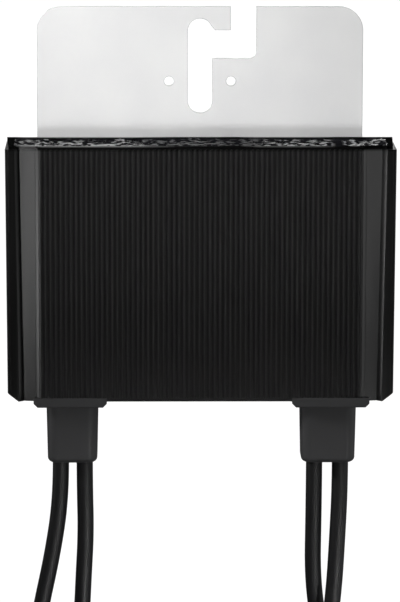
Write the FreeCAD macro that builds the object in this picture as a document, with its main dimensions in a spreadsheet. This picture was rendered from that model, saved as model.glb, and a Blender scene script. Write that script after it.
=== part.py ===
import FreeCAD, Part
import math
import operator
import os

import Sketcher
from FreeCAD import Placement, Rotation, Vector

# A solar power optimizer: a ribbed moulded box full of resin, a hook-slotted bracket plate behind it,
# and two cable glands below it. Millimetres, +X to the right, +Y to the back, +Z up.
# The origin is the middle of the slot's round top end, where the hanging bolt sits, on the rail face.

SIZES = {
    # Bracket plate, a flat sheet with a slot that hooks over the bolt
    "plate_inset": 10.1,
    "plate_thickness": 2.0,
    "plate_above_bolt": 8.1,
    "plate_foot_gap": 7.3,
    "plate_corner": 8.0,
    "plate_foot_corner": 4.0,
    "bolt_slot_radius": 4.1,
    "bolt_slot_travel": 23.5,
    "entry_offset": 10.2,
    "entry_width": 8.6,
    "entry_corner": 2.5,
    "channel_drop": 9.3,
    "seat_turn": 2.2,
    "lead_in_end": 5.0,
    "tab_rise": 0.2,
    "tie_hole_radius": 1.6,
    "tie_hole_spacing": 20.7,
    "tie_hole_drop": 16.9,
    # Moulded box
    "box_drop": 35.7,
    "box_width": 129.0,
    "box_height": 85.3,
    "box_depth": 25.5,
    "side_draft": 0.45,
    "lip_width": 3.1,
    "lip_growth": 0.8,
    "lip_setback": 0.5,
    "lip_run": 1.6,
    "lip_drop": 1.0,
    "lip_top_depth": 2.2,
    "side_set_in": 1.2,
    "channel_width": 5.2,
    "channel_recess": 1.3,
    "channel_slope": 0.7,
    "step_run": 1.1,
    "rib_height": 0.4,
    "rib_count": 63.0,
    "rib_crest": 0.55,
    "rib_valley": 0.45,
    "rib_start": 1.0,
    "wall": 2.2,
    "floor_wall": 3.0,
    "rim_radius": 1.0,
    "lip_radius": 1.0,
    "foot_cut_width": 3.6,
    "foot_cut_height": 2.8,
    "resin_level": 1.3,
    # Screws that hold the plate to the box
    "screw_inset": 20.5,
    "screw_top_share": 0.14,
    "screw_pitch_share": 0.56,
    "screw_radius": 1.5,
    "screw_head_radius": 2.9,
    "screw_length": 6.6,
    "screw_play": 0.1,
    "boss_radius": 4.0,
    "boss_height": 3.2,
    # Cables and their glands
    "cable_radius": 2.75,
    "conductor_radius": 1.2,
    "gland_inset": 21.8,
    "input_pitch": 8.0,
    "output_pitch": 8.7,
    "input_gland_width": 17.3,
    "output_gland_width": 18.7,
    "gland_corner": 3.5,
    "gland_foot_radius": 1.8,
    "gland_reach": 21.8,
    "gland_draft": 0.4,
    "flange_outer": 4.1,
    "flange_inner": 2.9,
    "flange_height": 3.2,
    "flange_inset": 1.2,
    "flange_margin": 3.5,
    "flange_ledge": 3.5,
    "flange_cut": 1.3,
    "neck_margin": 2.5,
    "neck_play": 0.1,
    "collar_height": 2.5,
    "collar_margin": 1.4,
    # Circuit board and what it carries
    "board_side_gap": 2.9,
    "board_top_gap": 6.0,
    "board_foot_gap": 4.0,
    "board_thickness": 1.6,
    "board_corner": 2.0,
    "conductor_rise": 9.0,
    "conductor_bend": 3.0,
    "conductor_stub": 0.8,
    "conductor_play": 0.2,
    "core_gap": 4.75,
    "core_height": 22.0,
    "core_front_gap": 3.1,
    "core_leg_share": 0.23,
    "core_side_leg_share": 0.155,
    "core_yoke": 4.0,
    "winding_bulge": 2.4,
    "core_drop_share": 0.305,
    "transistor_width": 10.0,
    "transistor_height": 9.2,
    "transistor_thickness": 4.4,
    "transistor_pitch_share": 0.39,
    "transistor_drop_share": 0.58,
    "transistor_legs": 4.0,
    "leg_width": 0.9,
    "leg_thickness": 0.6,
    "capacitor_width": 11.0,
    "capacitor_front_gap": 3.9,
    "capacitor_inset": 18.5,
    "capacitor_drop_share": 0.2,
    "capacitor_pitch_share": 0.135,
    "capacitor_height_share": 0.105,
    "chip_size": 9.0,
    "chip_thickness": 1.4,
    "chip_drop_share": 0.164,
    "transformer_size": 10.0,
    "transformer_height": 7.0,
    "transformer_drop_share": 0.42,
    "shunt_length": 12.0,
    "shunt_width": 4.0,
    "shunt_thickness": 1.0,
    "shunt_foot": 2.5,
    # Connectors at the cables' ends
    "nut_length": 15.0,
    "nut_radius": 8.2,
    "nut_nose_radius": 6.2,
    "nut_taper": 4.0,
    "nut_wall_play": 0.3,
    "grip_radius": 1.3,
    "grip_count": 8.0,
    "collar_radius": 8.6,
    "collar_length": 4.0,
    "sleeve_radius": 6.9,
    "sleeve_bore": 5.0,
    "connector_length": 44.0,
    "cavity_depth": 20.0,
    "arm_width": 5.0,
    "arm_thickness": 1.5,
    "arm_length": 26.0,
    "barb": 1.0,
    "shell_length": 16.0,
    "nose_radius": 4.7,
    "crimp_radius": 2.3,
    "crimp_start": 12.0,
    "contact_flange": 2.8,
    "contact_flange_thickness": 0.8,
    "pin_radius": 2.0,
    "pin_recess": 5.5,
    "socket_bore": 1.4,
    "ring_section": 0.9,
    # Coils that hold the unseen length of the output cables
    "coil_radius": 32.0,
    "coil_slack": 0.4,
    "coil_gap": 0.4,
    "coil_drop": 275.0,
    "stub_length": 22.5,
    "lean_length": 12.0,
    "shoulder_length": 13.0,
    "tie_width": 3.6,
    "tie_thickness": 1.2,
    "tie_gap": 0.15,
    "tie_head": 5.0,
}

TOUCHING = 1e-6
OPERATIONS = {"+": operator.add, "-": operator.sub, "*": operator.mul, "/": operator.truediv}

doc = FreeCAD.newDocument("power_optimizer")
sheet = doc.addObject("Spreadsheet::Sheet", "sizes")
for row, (name, amount) in enumerate(SIZES.items(), start=1):
    sheet.set(f"A{row}", name)
    sheet.set(f"B{row}", str(amount))
    sheet.setAlias(f"B{row}", name)
doc.recompute()


class Quantity:
    """A size that carries its number and the formula of the cells that it comes from."""

    def __init__(self, number, formula):
        self.number = number
        self.formula = formula

    def __float__(self):
        return float(self.number)

    def __add__(self, other):
        return combine(self, "+", other)

    def __radd__(self, other):
        return combine(other, "+", self)

    def __sub__(self, other):
        return combine(self, "-", other)

    def __rsub__(self, other):
        return combine(other, "-", self)

    def __mul__(self, other):
        return combine(self, "*", other)

    def __rmul__(self, other):
        return combine(other, "*", self)

    def __truediv__(self, other):
        return combine(self, "/", other)

    def __neg__(self):
        return combine(-1, "*", self)


def formula_of(amount):
    return amount.formula if isinstance(amount, Quantity) else repr(float(amount))


def combine(left, sign, right):
    number = OPERATIONS[sign](float(left), float(right))
    return Quantity(number, f"({formula_of(left)} {sign} {formula_of(right)})")


def root(amount):
    return Quantity(math.sqrt(float(amount)), f"sqrt({amount.formula})")


def size(name):
    return Quantity(float(sheet.get(name)), f"sizes.{name}")


def bind(thing, slot, amount):
    """Ties one property of a document object to its cells."""
    if isinstance(amount, Quantity):
        thing.setExpression(slot, amount.formula)
    elif "." not in slot:
        setattr(thing, slot, amount)


def flat(point):
    return Vector(float(point[0]), float(point[1]), 0)


def spot(x, y, z):
    return Vector(float(x), float(y), float(z))


# Sketches


def new_body(name):
    body = doc.addObject("PartDesign::Body", name)
    body.Label = name
    return body


def new_sketch(body, role, name, offset=0.0):
    """A sketch on one of the body's own origin planes, moved along the plane's normal."""
    sketch = body.newObject("Sketcher::SketchObject", name)
    plane = next(item for item in body.Origin.OriginFeatures if item.Role == role)
    sketch.AttachmentSupport = (plane, "")
    sketch.MapMode = "FlatFace"
    bind(sketch, ".AttachmentOffset.Base.z", offset)
    return sketch


def pin(sketch, item, end, point):
    """Holds a point of the sketch at its distances from the sketch's origin."""
    for kind, axis, distance in (("DistanceX", -2, point[0]), ("DistanceY", -1, point[1])):
        if abs(float(distance)) < TOUCHING:
            sketch.addConstraint(Sketcher.Constraint("PointOnObject", item, end, axis))
            continue
        number = sketch.addConstraint(Sketcher.Constraint(kind, -1, 1, item, end, float(distance)))
        bind(sketch, f"Constraints[{number}]", distance)


def outline(sketch, corners):
    """Straight lines round the corners, each corner held by the sheet."""
    first = sketch.GeometryCount
    following = corners[1:] + corners[:1]
    sketch.addGeometry([Part.LineSegment(flat(a), flat(b)) for a, b in zip(corners, following)])
    last = first + len(corners) - 1
    joins = [Sketcher.Constraint("Coincident", item, 2, item + 1, 1) for item in range(first, last)]
    sketch.addConstraint(joins + [Sketcher.Constraint("Coincident", last, 2, first, 1)])
    for item, corner in enumerate(corners, start=first):
        pin(sketch, item, 1, corner)


def rectangle(sketch, low, high):
    outline(sketch, [low, (high[0], low[1]), high, (low[0], high[1])])


def circle(sketch, centre, radius):
    item = sketch.addGeometry(Part.Circle(flat(centre), Vector(0, 0, 1), float(radius)))
    pin(sketch, item, 3, centre)
    number = sketch.addConstraint(Sketcher.Constraint("Radius", item, float(radius)))
    bind(sketch, f"Constraints[{number}]", radius)


def oblong(sketch, low, high, radius):
    """Two half circles about the low and high centres, joined by upright lines."""
    top = Part.ArcOfCircle(Part.Circle(flat(high), Vector(0, 0, 1), float(radius)), 0, math.pi)
    foot = Part.ArcOfCircle(Part.Circle(flat(low), Vector(0, 0, 1), float(radius)), math.pi, 2 * math.pi)
    left = Part.LineSegment(flat((high[0] - radius, high[1])), flat((low[0] - radius, low[1])))
    right = Part.LineSegment(flat((low[0] + radius, low[1])), flat((high[0] + radius, high[1])))
    arc_top, arc_foot, line_left, line_right = sketch.addGeometry([top, foot, left, right])
    ends = ((arc_top, 2, line_left, 1), (line_left, 2, arc_foot, 1))
    ends += ((arc_foot, 2, line_right, 1), (line_right, 2, arc_top, 1))
    sketch.addConstraint([Sketcher.Constraint("Tangent", *end) for end in ends])
    pin(sketch, arc_top, 3, high)
    pin(sketch, arc_foot, 3, low)
    number = sketch.addConstraint(Sketcher.Constraint("Radius", arc_top, float(radius)))
    bind(sketch, f"Constraints[{number}]", radius)


# Features


def pad(body, sketch, length, name, away=False, middle=False):
    feature = body.newObject("PartDesign::Pad", name)
    feature.Profile = sketch
    feature.Reversed = away
    feature.SideType = "Symmetric" if middle else "One side"
    bind(feature, "Length", length)
    return feature


def pocket(body, sketch, length, name, away=False, middle=False):
    """Cuts the sketch into the body, and makes sure that it took material away."""
    doc.recompute()
    before = body.Shape.Volume
    feature = body.newObject("PartDesign::Pocket", name)
    feature.Profile = sketch
    feature.Reversed = away
    feature.SideType = "Symmetric" if middle else "One side"
    bind(feature, "Length", length)
    doc.recompute()
    broken = [item.Name for item in body.Group if "Invalid" in item.State]
    if broken or body.Shape.Volume > before - TOUCHING:
        raise ValueError(f"{name} cuts nothing {broken}")
    return feature


def repeated(body, feature, sketch, axis, span, count, name):
    """Copies of a feature in a row along one of its sketch's axes."""
    pattern = body.newObject("PartDesign::LinearPattern", name)
    pattern.Originals = [feature]
    pattern.Direction = (sketch, [axis])
    bind(pattern, "Length", span)
    bind(pattern, "Occurrences", count)
    body.Tip = pattern
    return pattern


def edges_where(shape, test):
    """Names of the edges whose middle point and direction pass the test."""
    names = []
    for number, edge in enumerate(shape.Edges, start=1):
        middle = edge.valueAt((edge.FirstParameter + edge.LastParameter) / 2)
        along = edge.tangentAt((edge.FirstParameter + edge.LastParameter) / 2)
        if test(middle, along):
            names.append(f"Edge{number}")
    return names


def near(a, b):
    return abs(float(a) - float(b)) < 0.01


def rounded(body, radius, test, name):
    doc.recompute()
    base = body.Tip
    feature = body.newObject("PartDesign::Fillet", name)
    feature.Base = (base, edges_where(base.Shape, test))
    bind(feature, "Radius", radius)
    return feature


def bevelled(body, cut, test, name):
    doc.recompute()
    base = body.Tip
    feature = body.newObject("PartDesign::Chamfer", name)
    feature.Base = (base, edges_where(base.Shape, test))
    bind(feature, "Size", cut)
    return feature


def turned(name, corners, solid_name="turning"):
    """A solid of revolution about the upright axis, from corners given as radius and height."""
    body = new_body(name)
    sketch = new_sketch(body, "XZ_Plane", f"{name}_profile")
    outline(sketch, corners)
    feature = body.newObject("PartDesign::Revolution", f"{name}_{solid_name}")
    feature.Profile = sketch
    feature.ReferenceAxis = (sketch, ["V_Axis"])
    feature.Angle = 360
    return body


def block(name, low, high):
    """A box between two opposite corners."""
    box = doc.addObject("Part::Box", name)
    for side, start, end in zip(("Length", "Width", "Height"), low, high):
        bind(box, side, end - start)
    for axis, start in zip("xyz", low):
        bind(box, f".Placement.Base.{axis}", start)
    return box


def fused(name, pieces):
    joint = doc.addObject("Part::MultiFuse", name)
    joint.Label = name
    joint.Shapes = pieces
    joint.Refine = True
    return joint


def group(name, pieces):
    """Separate like pieces that share one node."""
    together = doc.addObject("Part::Compound", name)
    together.Label = name
    together.Links = pieces
    return together


def cut(name, base, tool):
    result = doc.addObject("Part::Cut", name)
    result.Label = name
    result.Base = base
    result.Tool = tool
    return result


# Places that several pieces share

plate_front = -size("plate_thickness")
box_top = -size("box_drop")
box_foot = box_top - size("box_height")
box_front = plate_front - size("box_depth")
field_front = box_front + size("rib_height")
channel_front = box_front + size("channel_recess")
channel_back = channel_front + size("channel_slope")
lip_front = box_front + size("lip_setback")
box_half = size("box_width") / 2
channel_half = box_half - size("lip_width") - size("lip_run")
field_half = channel_half - size("channel_width") - size("step_run")
inner_back = plate_front - size("wall")
inner_floor = box_foot + size("floor_wall")
inner_half = box_half - size("side_draft") - size("wall")
inner_front = field_front + size("wall")
rib_pitch = field_half * 2 / size("rib_count")
board_back = inner_back - size("boss_height")
board_front = board_back - size("board_thickness")
room = board_front - inner_front
gland_foot = box_foot - size("gland_reach")
flange_top = box_foot + size("flange_inset")
flange_foot = flange_top - size("flange_height")
flange_front = box_front
flange_back = plate_front - size("flange_margin")
gland_middle = (flange_front + flange_back) / 2
gland_half_depth = (flange_back - flange_front) / 2 - size("flange_ledge")
gland_offset = box_half - size("gland_inset")
gland_top = inner_floor + size("collar_height")
screw_spread = box_half - size("screw_inset")
screw_rows = [box_top - size("box_height") * size("screw_top_share")]
screw_rows.append(screw_rows[0] - size("box_height") * size("screw_pitch_share"))
screw_places = [(x, z) for x in (-screw_spread, screw_spread) for z in screw_rows]


# The bracket: a flat sheet with rounded corners and a slot that hooks over the bolt


def make_bracket():
    body = new_body("mounting_bracket")
    top = size("plate_above_bolt")
    foot = box_foot + size("plate_foot_gap")
    half = box_half - size("plate_inset")
    sheet_outline = new_sketch(body, "XZ_Plane", "plate_outline")
    rectangle(sheet_outline, (-half, foot), (half, top))
    pad(body, sheet_outline, size("plate_thickness"), "plate")
    upright = lambda level: lambda middle, along: near(abs(along.y), 1) and near(middle.z, level)
    rounded(body, size("plate_corner"), upright(top), "top_corners")
    rounded(body, size("plate_foot_corner"), upright(foot), "foot_corners")

    radius = size("bolt_slot_radius")
    travel = -size("bolt_slot_travel")
    slot = new_sketch(body, "XZ_Plane", "bolt_slot_outline")
    oblong(slot, (0, travel), (0, 0), radius)
    pocket(body, slot, size("plate_thickness"), "bolt_slot", away=True)

    seat_turn = size("seat_turn")
    seat_height = root(radius * radius - seat_turn * seat_turn)
    entry_left = size("entry_offset")
    entry_right = entry_left + size("entry_width")
    drop = -size("channel_drop")
    tab = size("tab_rise")
    over = top + size("plate_thickness")
    passage = [(0, 0), (seat_turn, seat_height), (size("lead_in_end"), tab), (entry_left, tab)]
    passage += [(entry_left, over), (entry_right, over), (entry_right, drop), (0, drop)]
    entry = new_sketch(body, "XZ_Plane", "entry_outline")
    outline(entry, passage)
    pocket(body, entry, size("plate_thickness"), "entry", away=True)
    rounded(
        body,
        size("entry_corner"),
        lambda m, a: near(abs(a.y), 1) and near(m.x, entry_right) and near(m.z, drop),
        "entry_corner",
    )

    holes = new_sketch(body, "XZ_Plane", "tie_hole_outline")
    circle(holes, (-size("tie_hole_spacing") / 2, -size("tie_hole_drop")), size("tie_hole_radius"))
    circle(holes, (size("tie_hole_spacing") / 2, -size("tie_hole_drop")), size("tie_hole_radius"))
    pocket(body, holes, size("plate_thickness"), "tie_holes", away=True)

    heads = screw_set("bracket_screw_holes", size("screw_play"))
    result = cut("mounting_bracket_plate", body, heads)
    body.Label = "bracket_sheet"
    result.Label = "mounting_bracket"
    return result


def screw_set(name, play):
    """Countersunk screws, or with a play the holes that they go in."""
    shank = size("screw_radius") + play
    head = size("screw_head_radius")
    cone = head - size("screw_radius")
    pieces = []
    for number, (x, z) in enumerate(screw_places):
        taper = doc.addObject("Part::Cone", f"{name}_head_{number}")
        bind(taper, "Radius1", head)
        bind(taper, "Radius2", size("screw_radius"))
        bind(taper, "Height", cone)
        stem = doc.addObject("Part::Cylinder", f"{name}_stem_{number}")
        bind(stem, "Radius", shank)
        bind(stem, "Height", size("screw_length") + play)
        for part in (taper, stem):
            part.Placement = Placement(spot(x, 0, z), Rotation(Vector(1, 0, 0), 90))
            bind(part, ".Placement.Base.x", x)
            bind(part, ".Placement.Base.z", z)
        pieces.append(fused(f"{name}_{number}", [taper, stem]))
    return group(name, pieces)


# The box: a deep moulding, open at the top, drafted at its sides, with ribs up its front


def box_profile(body, name, height, half, lip):
    """The box's outline at one height: back, sides, lips, channels that slope back, and the rib field."""
    inner = half - lip
    step = size("step_run")
    turn = size("lip_radius")
    right = [(half, plate_front), (half, lip_front + turn), (half - turn * 0.3, lip_front + turn * 0.3)]
    right += [(half - turn, lip_front), (inner, lip_front), (inner - size("lip_run"), channel_back)]
    right += [(field_half + step, channel_front), (field_half, field_front)]
    left = [(-x, y) for x, y in reversed(right)]
    sketch = new_sketch(body, "XY_Plane", name, height)
    outline(sketch, right[::-1] + left[::-1])
    return sketch


def cavity_corners():
    """The inside's outline, which steps forward behind the rib field."""
    side_front = channel_back + size("wall")
    step_half = field_half - size("wall") / 2
    right = [(inner_half, inner_back), (inner_half, side_front), (step_half, side_front)]
    right += [(step_half, inner_front)]
    return right[::-1] + [(-x, y) for x, y in right]


def make_housing():
    body = new_body("housing")
    foot_half = box_half - size("side_draft")
    foot = box_profile(body, "foot_outline", box_foot, foot_half, size("lip_width") + size("lip_growth"))
    rim = box_profile(body, "rim_outline", box_top, box_half, size("lip_width"))
    shell = body.newObject("PartDesign::AdditiveLoft", "drafted_block")
    shell.Profile = foot
    shell.Sections = [rim]
    shell.Ruled = True

    turn = size("rim_radius")
    outside, above = box_front - turn, box_top + turn
    edge = [(outside, above), (outside, box_top - turn), (field_front, box_top - turn)]
    edge += [(field_front + turn * 0.3, box_top - turn * 0.3), (field_front + turn, box_top)]
    edge += [(field_front + turn, above)]
    front_edge = new_sketch(body, "YZ_Plane", "rim_edge_outline")
    outline(front_edge, edge)
    pocket(body, front_edge, size("box_width") * 2, "rim_rounding", middle=True)

    corner_cuts = new_sketch(body, "XZ_Plane", "foot_cut_outline")
    for side in (-1, 1):
        outer = side * (box_half + size("wall"))
        inner = side * (box_half - size("side_draft") - size("foot_cut_width"))
        slope = size("foot_cut_height") / size("foot_cut_width")
        rise = box_foot + size("foot_cut_height") + slope * size("wall")
        below = box_foot - size("wall")
        run = inner - side * (size("wall") / slope)
        outline(corner_cuts, [(run, below), (outer, below), (outer, rise + slope * size("side_draft"))])
    pocket(body, corner_cuts, size("box_depth") * 2 + size("plate_thickness") * 2, "foot_cuts", away=True)

    # The lips end a little below the rim, and the rim's ends draw in towards the front.
    lip_tops = new_sketch(body, "XY_Plane", "lip_top_outline", box_top)
    ahead, lip_back = box_front - size("wall"), lip_front + size("lip_top_depth")
    for side in (-1, 1):
        outer = side * (box_half + size("wall"))
        inner = side * (box_half - size("lip_width"))
        drawn_in = side * (box_half - size("side_set_in"))
        corners = [(inner, ahead), (outer, ahead), (outer, plate_front), (side * box_half, plate_front)]
        outline(lip_tops, corners + [(drawn_in, lip_back), (inner, lip_back)])
    pocket(body, lip_tops, size("lip_drop"), "lip_tops")

    hollow = new_sketch(body, "XY_Plane", "cavity_outline", box_top)
    outline(hollow, cavity_corners())
    pocket(body, hollow, size("box_height") - size("floor_wall"), "cavity")

    bosses = new_sketch(body, "XZ_Plane", "boss_outline", -inner_back)
    for x, z in screw_places:
        circle(bosses, (x, z), size("boss_radius"))
    pad(body, bosses, size("boss_height"), "bosses")

    for side, width in ((-1, "input_gland_width"), (1, "output_gland_width")):
        name = width.replace("_gland_width", "")
        low, high = flange_span(side, width)
        seat = new_sketch(body, "XY_Plane", f"{name}_seat_outline", flange_top)
        rectangle(seat, (low, box_front - size("wall")), (high, flange_back))
        pocket(body, seat, size("box_height"), f"{name}_seat")
        neck = new_sketch(body, "XY_Plane", f"{name}_neck_outline", inner_floor)
        rectangle(neck, *neck_span(side, width, size("neck_play")))
        pocket(body, neck, size("box_height"), f"{name}_neck_hole")

    first_rib = -(size("rib_count") - 1) * rib_pitch / 2
    rib = new_sketch(body, "XY_Plane", "rib_outline", flange_top)
    crest = size("rib_crest") / 2
    base = (rib_pitch - size("rib_valley")) / 2
    corners = [(first_rib - base, field_front), (first_rib - crest, box_front)]
    corners += [(first_rib + crest, box_front), (first_rib + base, field_front)]
    outline(rib, corners)
    ridge = pad(body, rib, box_top - size("rib_start") - flange_top, "rib")
    span = (size("rib_count") - 1) * rib_pitch
    repeated(body, ridge, rib, "H_Axis", span, size("rib_count"), "ribs")

    holes = screw_set("boss_holes", size("screw_play"))
    result = cut("housing_shell", body, holes)
    body.Label = "housing_moulding"
    result.Label = "housing"
    return result


# The glands: blocks moulded round their two cables, each with a flange let into the box's foot


def flange_span(side, width):
    centre = side * gland_offset
    outer = centre + side * (size(width) / 2 + size("flange_outer"))
    inner = centre - side * (size(width) / 2 + size("flange_inner"))
    return (outer, inner) if side < 0 else (inner, outer)


def neck_span(side, width, play):
    centre = side * gland_offset
    half = size(width) / 2 - size("neck_margin") + play
    deep = gland_half_depth - size("neck_margin") + play
    return (centre - half, gland_middle - deep), (centre + half, gland_middle + deep)


def make_gland(name, side, width):
    body = new_body(name)
    centre = side * gland_offset
    half = size(width) / 2
    deep = gland_half_depth
    low, high = flange_span(side, width)
    flange = new_sketch(body, "XY_Plane", f"{name}_flange_outline", flange_foot)
    rectangle(flange, (low, flange_front), (high, flange_back))
    pad(body, flange, size("flange_height"), f"{name}_flange")
    bevelled(
        body,
        size("flange_cut"),
        lambda m, a: near(m.z, flange_foot) and near(abs(a.y), 1),
        f"{name}_flange_bevels",
    )
    upper = new_sketch(body, "XY_Plane", f"{name}_block_top", flange_foot)
    rectangle(upper, (centre - half, gland_middle - deep), (centre + half, gland_middle + deep))
    lower = new_sketch(body, "XY_Plane", f"{name}_block_foot", gland_foot)
    draft = size("gland_draft")
    rectangle(
        lower,
        (centre - half + draft, gland_middle - deep + draft),
        (centre + half - draft, gland_middle + deep - draft),
    )
    relief = body.newObject("PartDesign::AdditiveLoft", f"{name}_block")
    relief.Profile = upper
    relief.Sections = [lower]
    relief.Ruled = True
    body.Tip = relief
    rounded(
        body,
        size("gland_corner"),
        lambda m, a: abs(a.z) > 0.9 and float(gland_foot) < m.z < float(flange_foot),
        f"{name}_block_corners",
    )
    rounded(
        body,
        size("gland_foot_radius"),
        lambda m, a: near(m.z, gland_foot) and abs(a.z) < 0.1,
        f"{name}_foot_rounding",
    )
    neck = new_sketch(body, "XY_Plane", f"{name}_neck_outline", flange_top)
    rectangle(neck, *neck_span(side, width, 0))
    pad(body, neck, inner_floor - flange_top, f"{name}_neck")
    collar = new_sketch(body, "XY_Plane", f"{name}_collar_outline", inner_floor)
    rectangle(collar, *neck_span(side, width, size("collar_margin")))
    pad(body, collar, size("collar_height"), f"{name}_collar")
    return body


# The board and its parts


def make_board():
    body = new_body("circuit_board")
    half = inner_half - size("board_side_gap")
    top = box_top - size("board_top_gap")
    foot = inner_floor + size("board_foot_gap")
    panel = new_sketch(body, "XZ_Plane", "board_outline", -board_back)
    rectangle(panel, (-half, foot), (half, top))
    pad(body, panel, size("board_thickness"), "panel")
    rounded(body, size("board_corner"), lambda m, a: near(abs(a.y), 1), "board_corners")
    holes = new_sketch(body, "XZ_Plane", "solder_hole_outline", -board_back)
    for x in conductor_places():
        circle(holes, (x, solder_height), size("conductor_radius") + size("conductor_play"))
    pocket(body, holes, size("board_thickness"), "solder_holes", away=True)
    return body


solder_height = gland_top + size("conductor_rise")


def conductor_places():
    places = []
    for side, pitch in ((-1, "input_pitch"), (1, "output_pitch")):
        places += [side * gland_offset + sign * size(pitch) / 2 for sign in (-1, 1)]
    return places


def make_conductor(name, x):
    """A bare conductor that rises out of the gland and turns back through the board."""
    body = new_body(name)
    path = new_sketch(body, "YZ_Plane", f"{name}_path", x)
    bend = size("conductor_bend")
    end = board_back + size("conductor_stub")
    corner_low = (gland_middle, solder_height - bend)
    corner_high = (gland_middle + bend, solder_height)
    centre = flat((gland_middle + bend, solder_height - bend))
    rise = Part.LineSegment(flat((gland_middle, gland_top)), flat(corner_low))
    arc = Part.ArcOfCircle(Part.Circle(centre, Vector(0, 0, 1), float(bend)), math.pi / 2, math.pi)
    run = Part.LineSegment(flat(corner_high), flat((end, solder_height)))
    first, turn, last = path.addGeometry([rise, arc, run])
    path.addConstraint(Sketcher.Constraint("Tangent", first, 2, turn, 2))
    path.addConstraint(Sketcher.Constraint("Tangent", turn, 1, last, 1))
    pin(path, first, 1, (gland_middle, gland_top))
    pin(path, turn, 3, (gland_middle + bend, solder_height - bend))
    pin(path, last, 2, (end, solder_height))
    section = new_sketch(body, "XY_Plane", f"{name}_section", gland_top)
    circle(section, (x, gland_middle), size("conductor_radius"))
    wire = body.newObject("PartDesign::AdditivePipe", f"{name}_wire")
    wire.Profile = section
    wire.Spine = (path, [])
    body.Tip = wire
    return body


# The columns and rows of parts keep their places in the box.
column = box_half - size("capacitor_inset")
column_edge = column - size("capacitor_width") / 2
transistor_drop = size("box_height") * size("transistor_drop_share")
core_row = box_top - size("box_height") * size("core_drop_share")
core_place = (column_edge + size("transformer_size") / 2) / 2
core_half = (column_edge - size("transformer_size") / 2) / 2 - size("core_gap")
core_leg = core_half * size("core_leg_share")
core_side_leg = core_half * size("core_side_leg_share") * 2
core_thickness = room - size("winding_bulge") * 2 - size("core_front_gap")


def make_core(name, x):
    """A ferrite core of three legs between two yokes."""
    body = new_body(name)
    middle = core_row
    half = core_half
    tall = size("core_height") / 2
    frame = new_sketch(body, "XZ_Plane", f"{name}_outline", -board_front + size("winding_bulge"))
    rectangle(frame, (x - half, middle - tall), (x + half, middle + tall))
    pad(body, frame, core_thickness, f"{name}_block")
    windows = new_sketch(body, "XZ_Plane", f"{name}_window_outline", -board_front + size("winding_bulge"))
    reach = half - core_side_leg
    leg = core_leg
    rise = tall - size("core_yoke")
    rectangle(windows, (x - reach, middle - rise), (x - leg, middle + rise))
    rectangle(windows, (x + leg, middle - rise), (x + reach, middle + rise))
    pocket(body, windows, core_thickness, f"{name}_windows", away=True)
    return body


def make_winding(name, x):
    """A tube of copper turns round the core's middle leg, from yoke to yoke."""
    body = new_body(name)
    middle = core_row
    rise = size("core_height") / 2 - size("core_yoke")
    reach = core_half - core_side_leg
    leg = core_leg
    near_side = board_front - size("winding_bulge")
    far_side = near_side - core_thickness
    turns = new_sketch(body, "XY_Plane", f"{name}_outline", middle - rise)
    rectangle(turns, (x - reach, far_side - size("winding_bulge")), (x + reach, board_front))
    rectangle(turns, (x - leg, far_side), (x + leg, near_side))
    pad(body, turns, rise + rise, f"{name}_turns")
    return body


def make_transistor(name, x, drop):
    """A power package: a moulded case with three legs that run down to the board."""
    half = size("transistor_width") / 2
    top = box_top - drop
    foot = top - size("transistor_height")
    low = (x - half, board_front - size("transistor_thickness"), foot)
    pieces = [block(f"{name}_case", low, (x + half, board_front, top))]
    for number in (-1, 0, 1):
        centre = x + number * size("transistor_width") / 4
        edge = size("leg_width") / 2
        low = (centre - edge, board_front - size("leg_thickness"), foot - size("transistor_legs"))
        pieces.append(block(f"{name}_leg_{number + 1}", low, (centre + edge, board_front, foot)))
    return fused(name, pieces)


def make_capacitors(name, side):
    """Three film capacitors in a column."""
    pieces = []
    tall = size("box_height")
    for number in range(3):
        x = side * column
        top = box_top - tall * size("capacitor_drop_share") - number * tall * size("capacitor_pitch_share")
        half = size("capacitor_width") / 2
        front = inner_front + size("capacitor_front_gap")
        low = (x - half, front, top - tall * size("capacitor_height_share"))
        pieces.append(block(f"{name}_{number}", low, (x + half, board_front, top)))
    return group(name, pieces)


def make_chip():
    half = size("chip_size") / 2
    middle = box_top - size("box_height") * size("chip_drop_share")
    front = board_front - size("chip_thickness")
    case = block("control_chip_case", (-half, front, middle - half), (half, board_front, middle + half))
    bevels = doc.addObject("Part::Chamfer", "control_chip")
    bevels.Label = "control_chip"
    bevels.Base = case
    doc.recompute()
    bevel = float(size("chip_thickness")) / 4
    names = edges_where(case.Shape, lambda m, a: near(m.y, front))
    bevels.Edges = [(int(item[4:]), bevel, bevel) for item in names]
    return bevels


def make_transformer():
    body = new_body("signal_transformer")
    middle = box_top - size("box_height") * size("transformer_drop_share")
    half = size("transformer_size") / 2
    case = new_sketch(body, "XZ_Plane", "transformer_outline", -board_front)
    rectangle(case, (-half, middle - half), (half, middle + half))
    pad(body, case, size("transformer_height"), "transformer_case")
    rounded(body, size("board_corner"), lambda m, a: near(abs(a.y), 1), "transformer_corners")
    return body


def make_shunt():
    """A bridge of resistance metal that stands on two feet."""
    body = new_body("current_shunt")
    x = -column
    top = box_top - transistor_drop
    half = size("shunt_length") / 2
    thick = size("shunt_thickness")
    inner = half - size("shunt_foot")
    side = new_sketch(body, "XY_Plane", "shunt_outline", top - size("shunt_width"))
    raised = board_front - thick
    corners = [(x - half, board_front), (x - half, raised - thick), (x + half, raised - thick)]
    corners += [(x + half, board_front), (x + inner, board_front), (x + inner, raised)]
    corners += [(x - inner, raised), (x - inner, board_front)]
    outline(side, corners)
    pad(body, side, size("shunt_width"), "shunt_strip")
    return body


# The connectors: a nut over the cable, a moulded body and a metal contact


def place_on_cable(thing, end, length_name="crimp_start"):
    """Stands a connector piece so that the cable's end meets the contact inside it."""
    thing.Placement = Placement(end + spot(0, 0, size(length_name)), Rotation())


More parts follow.
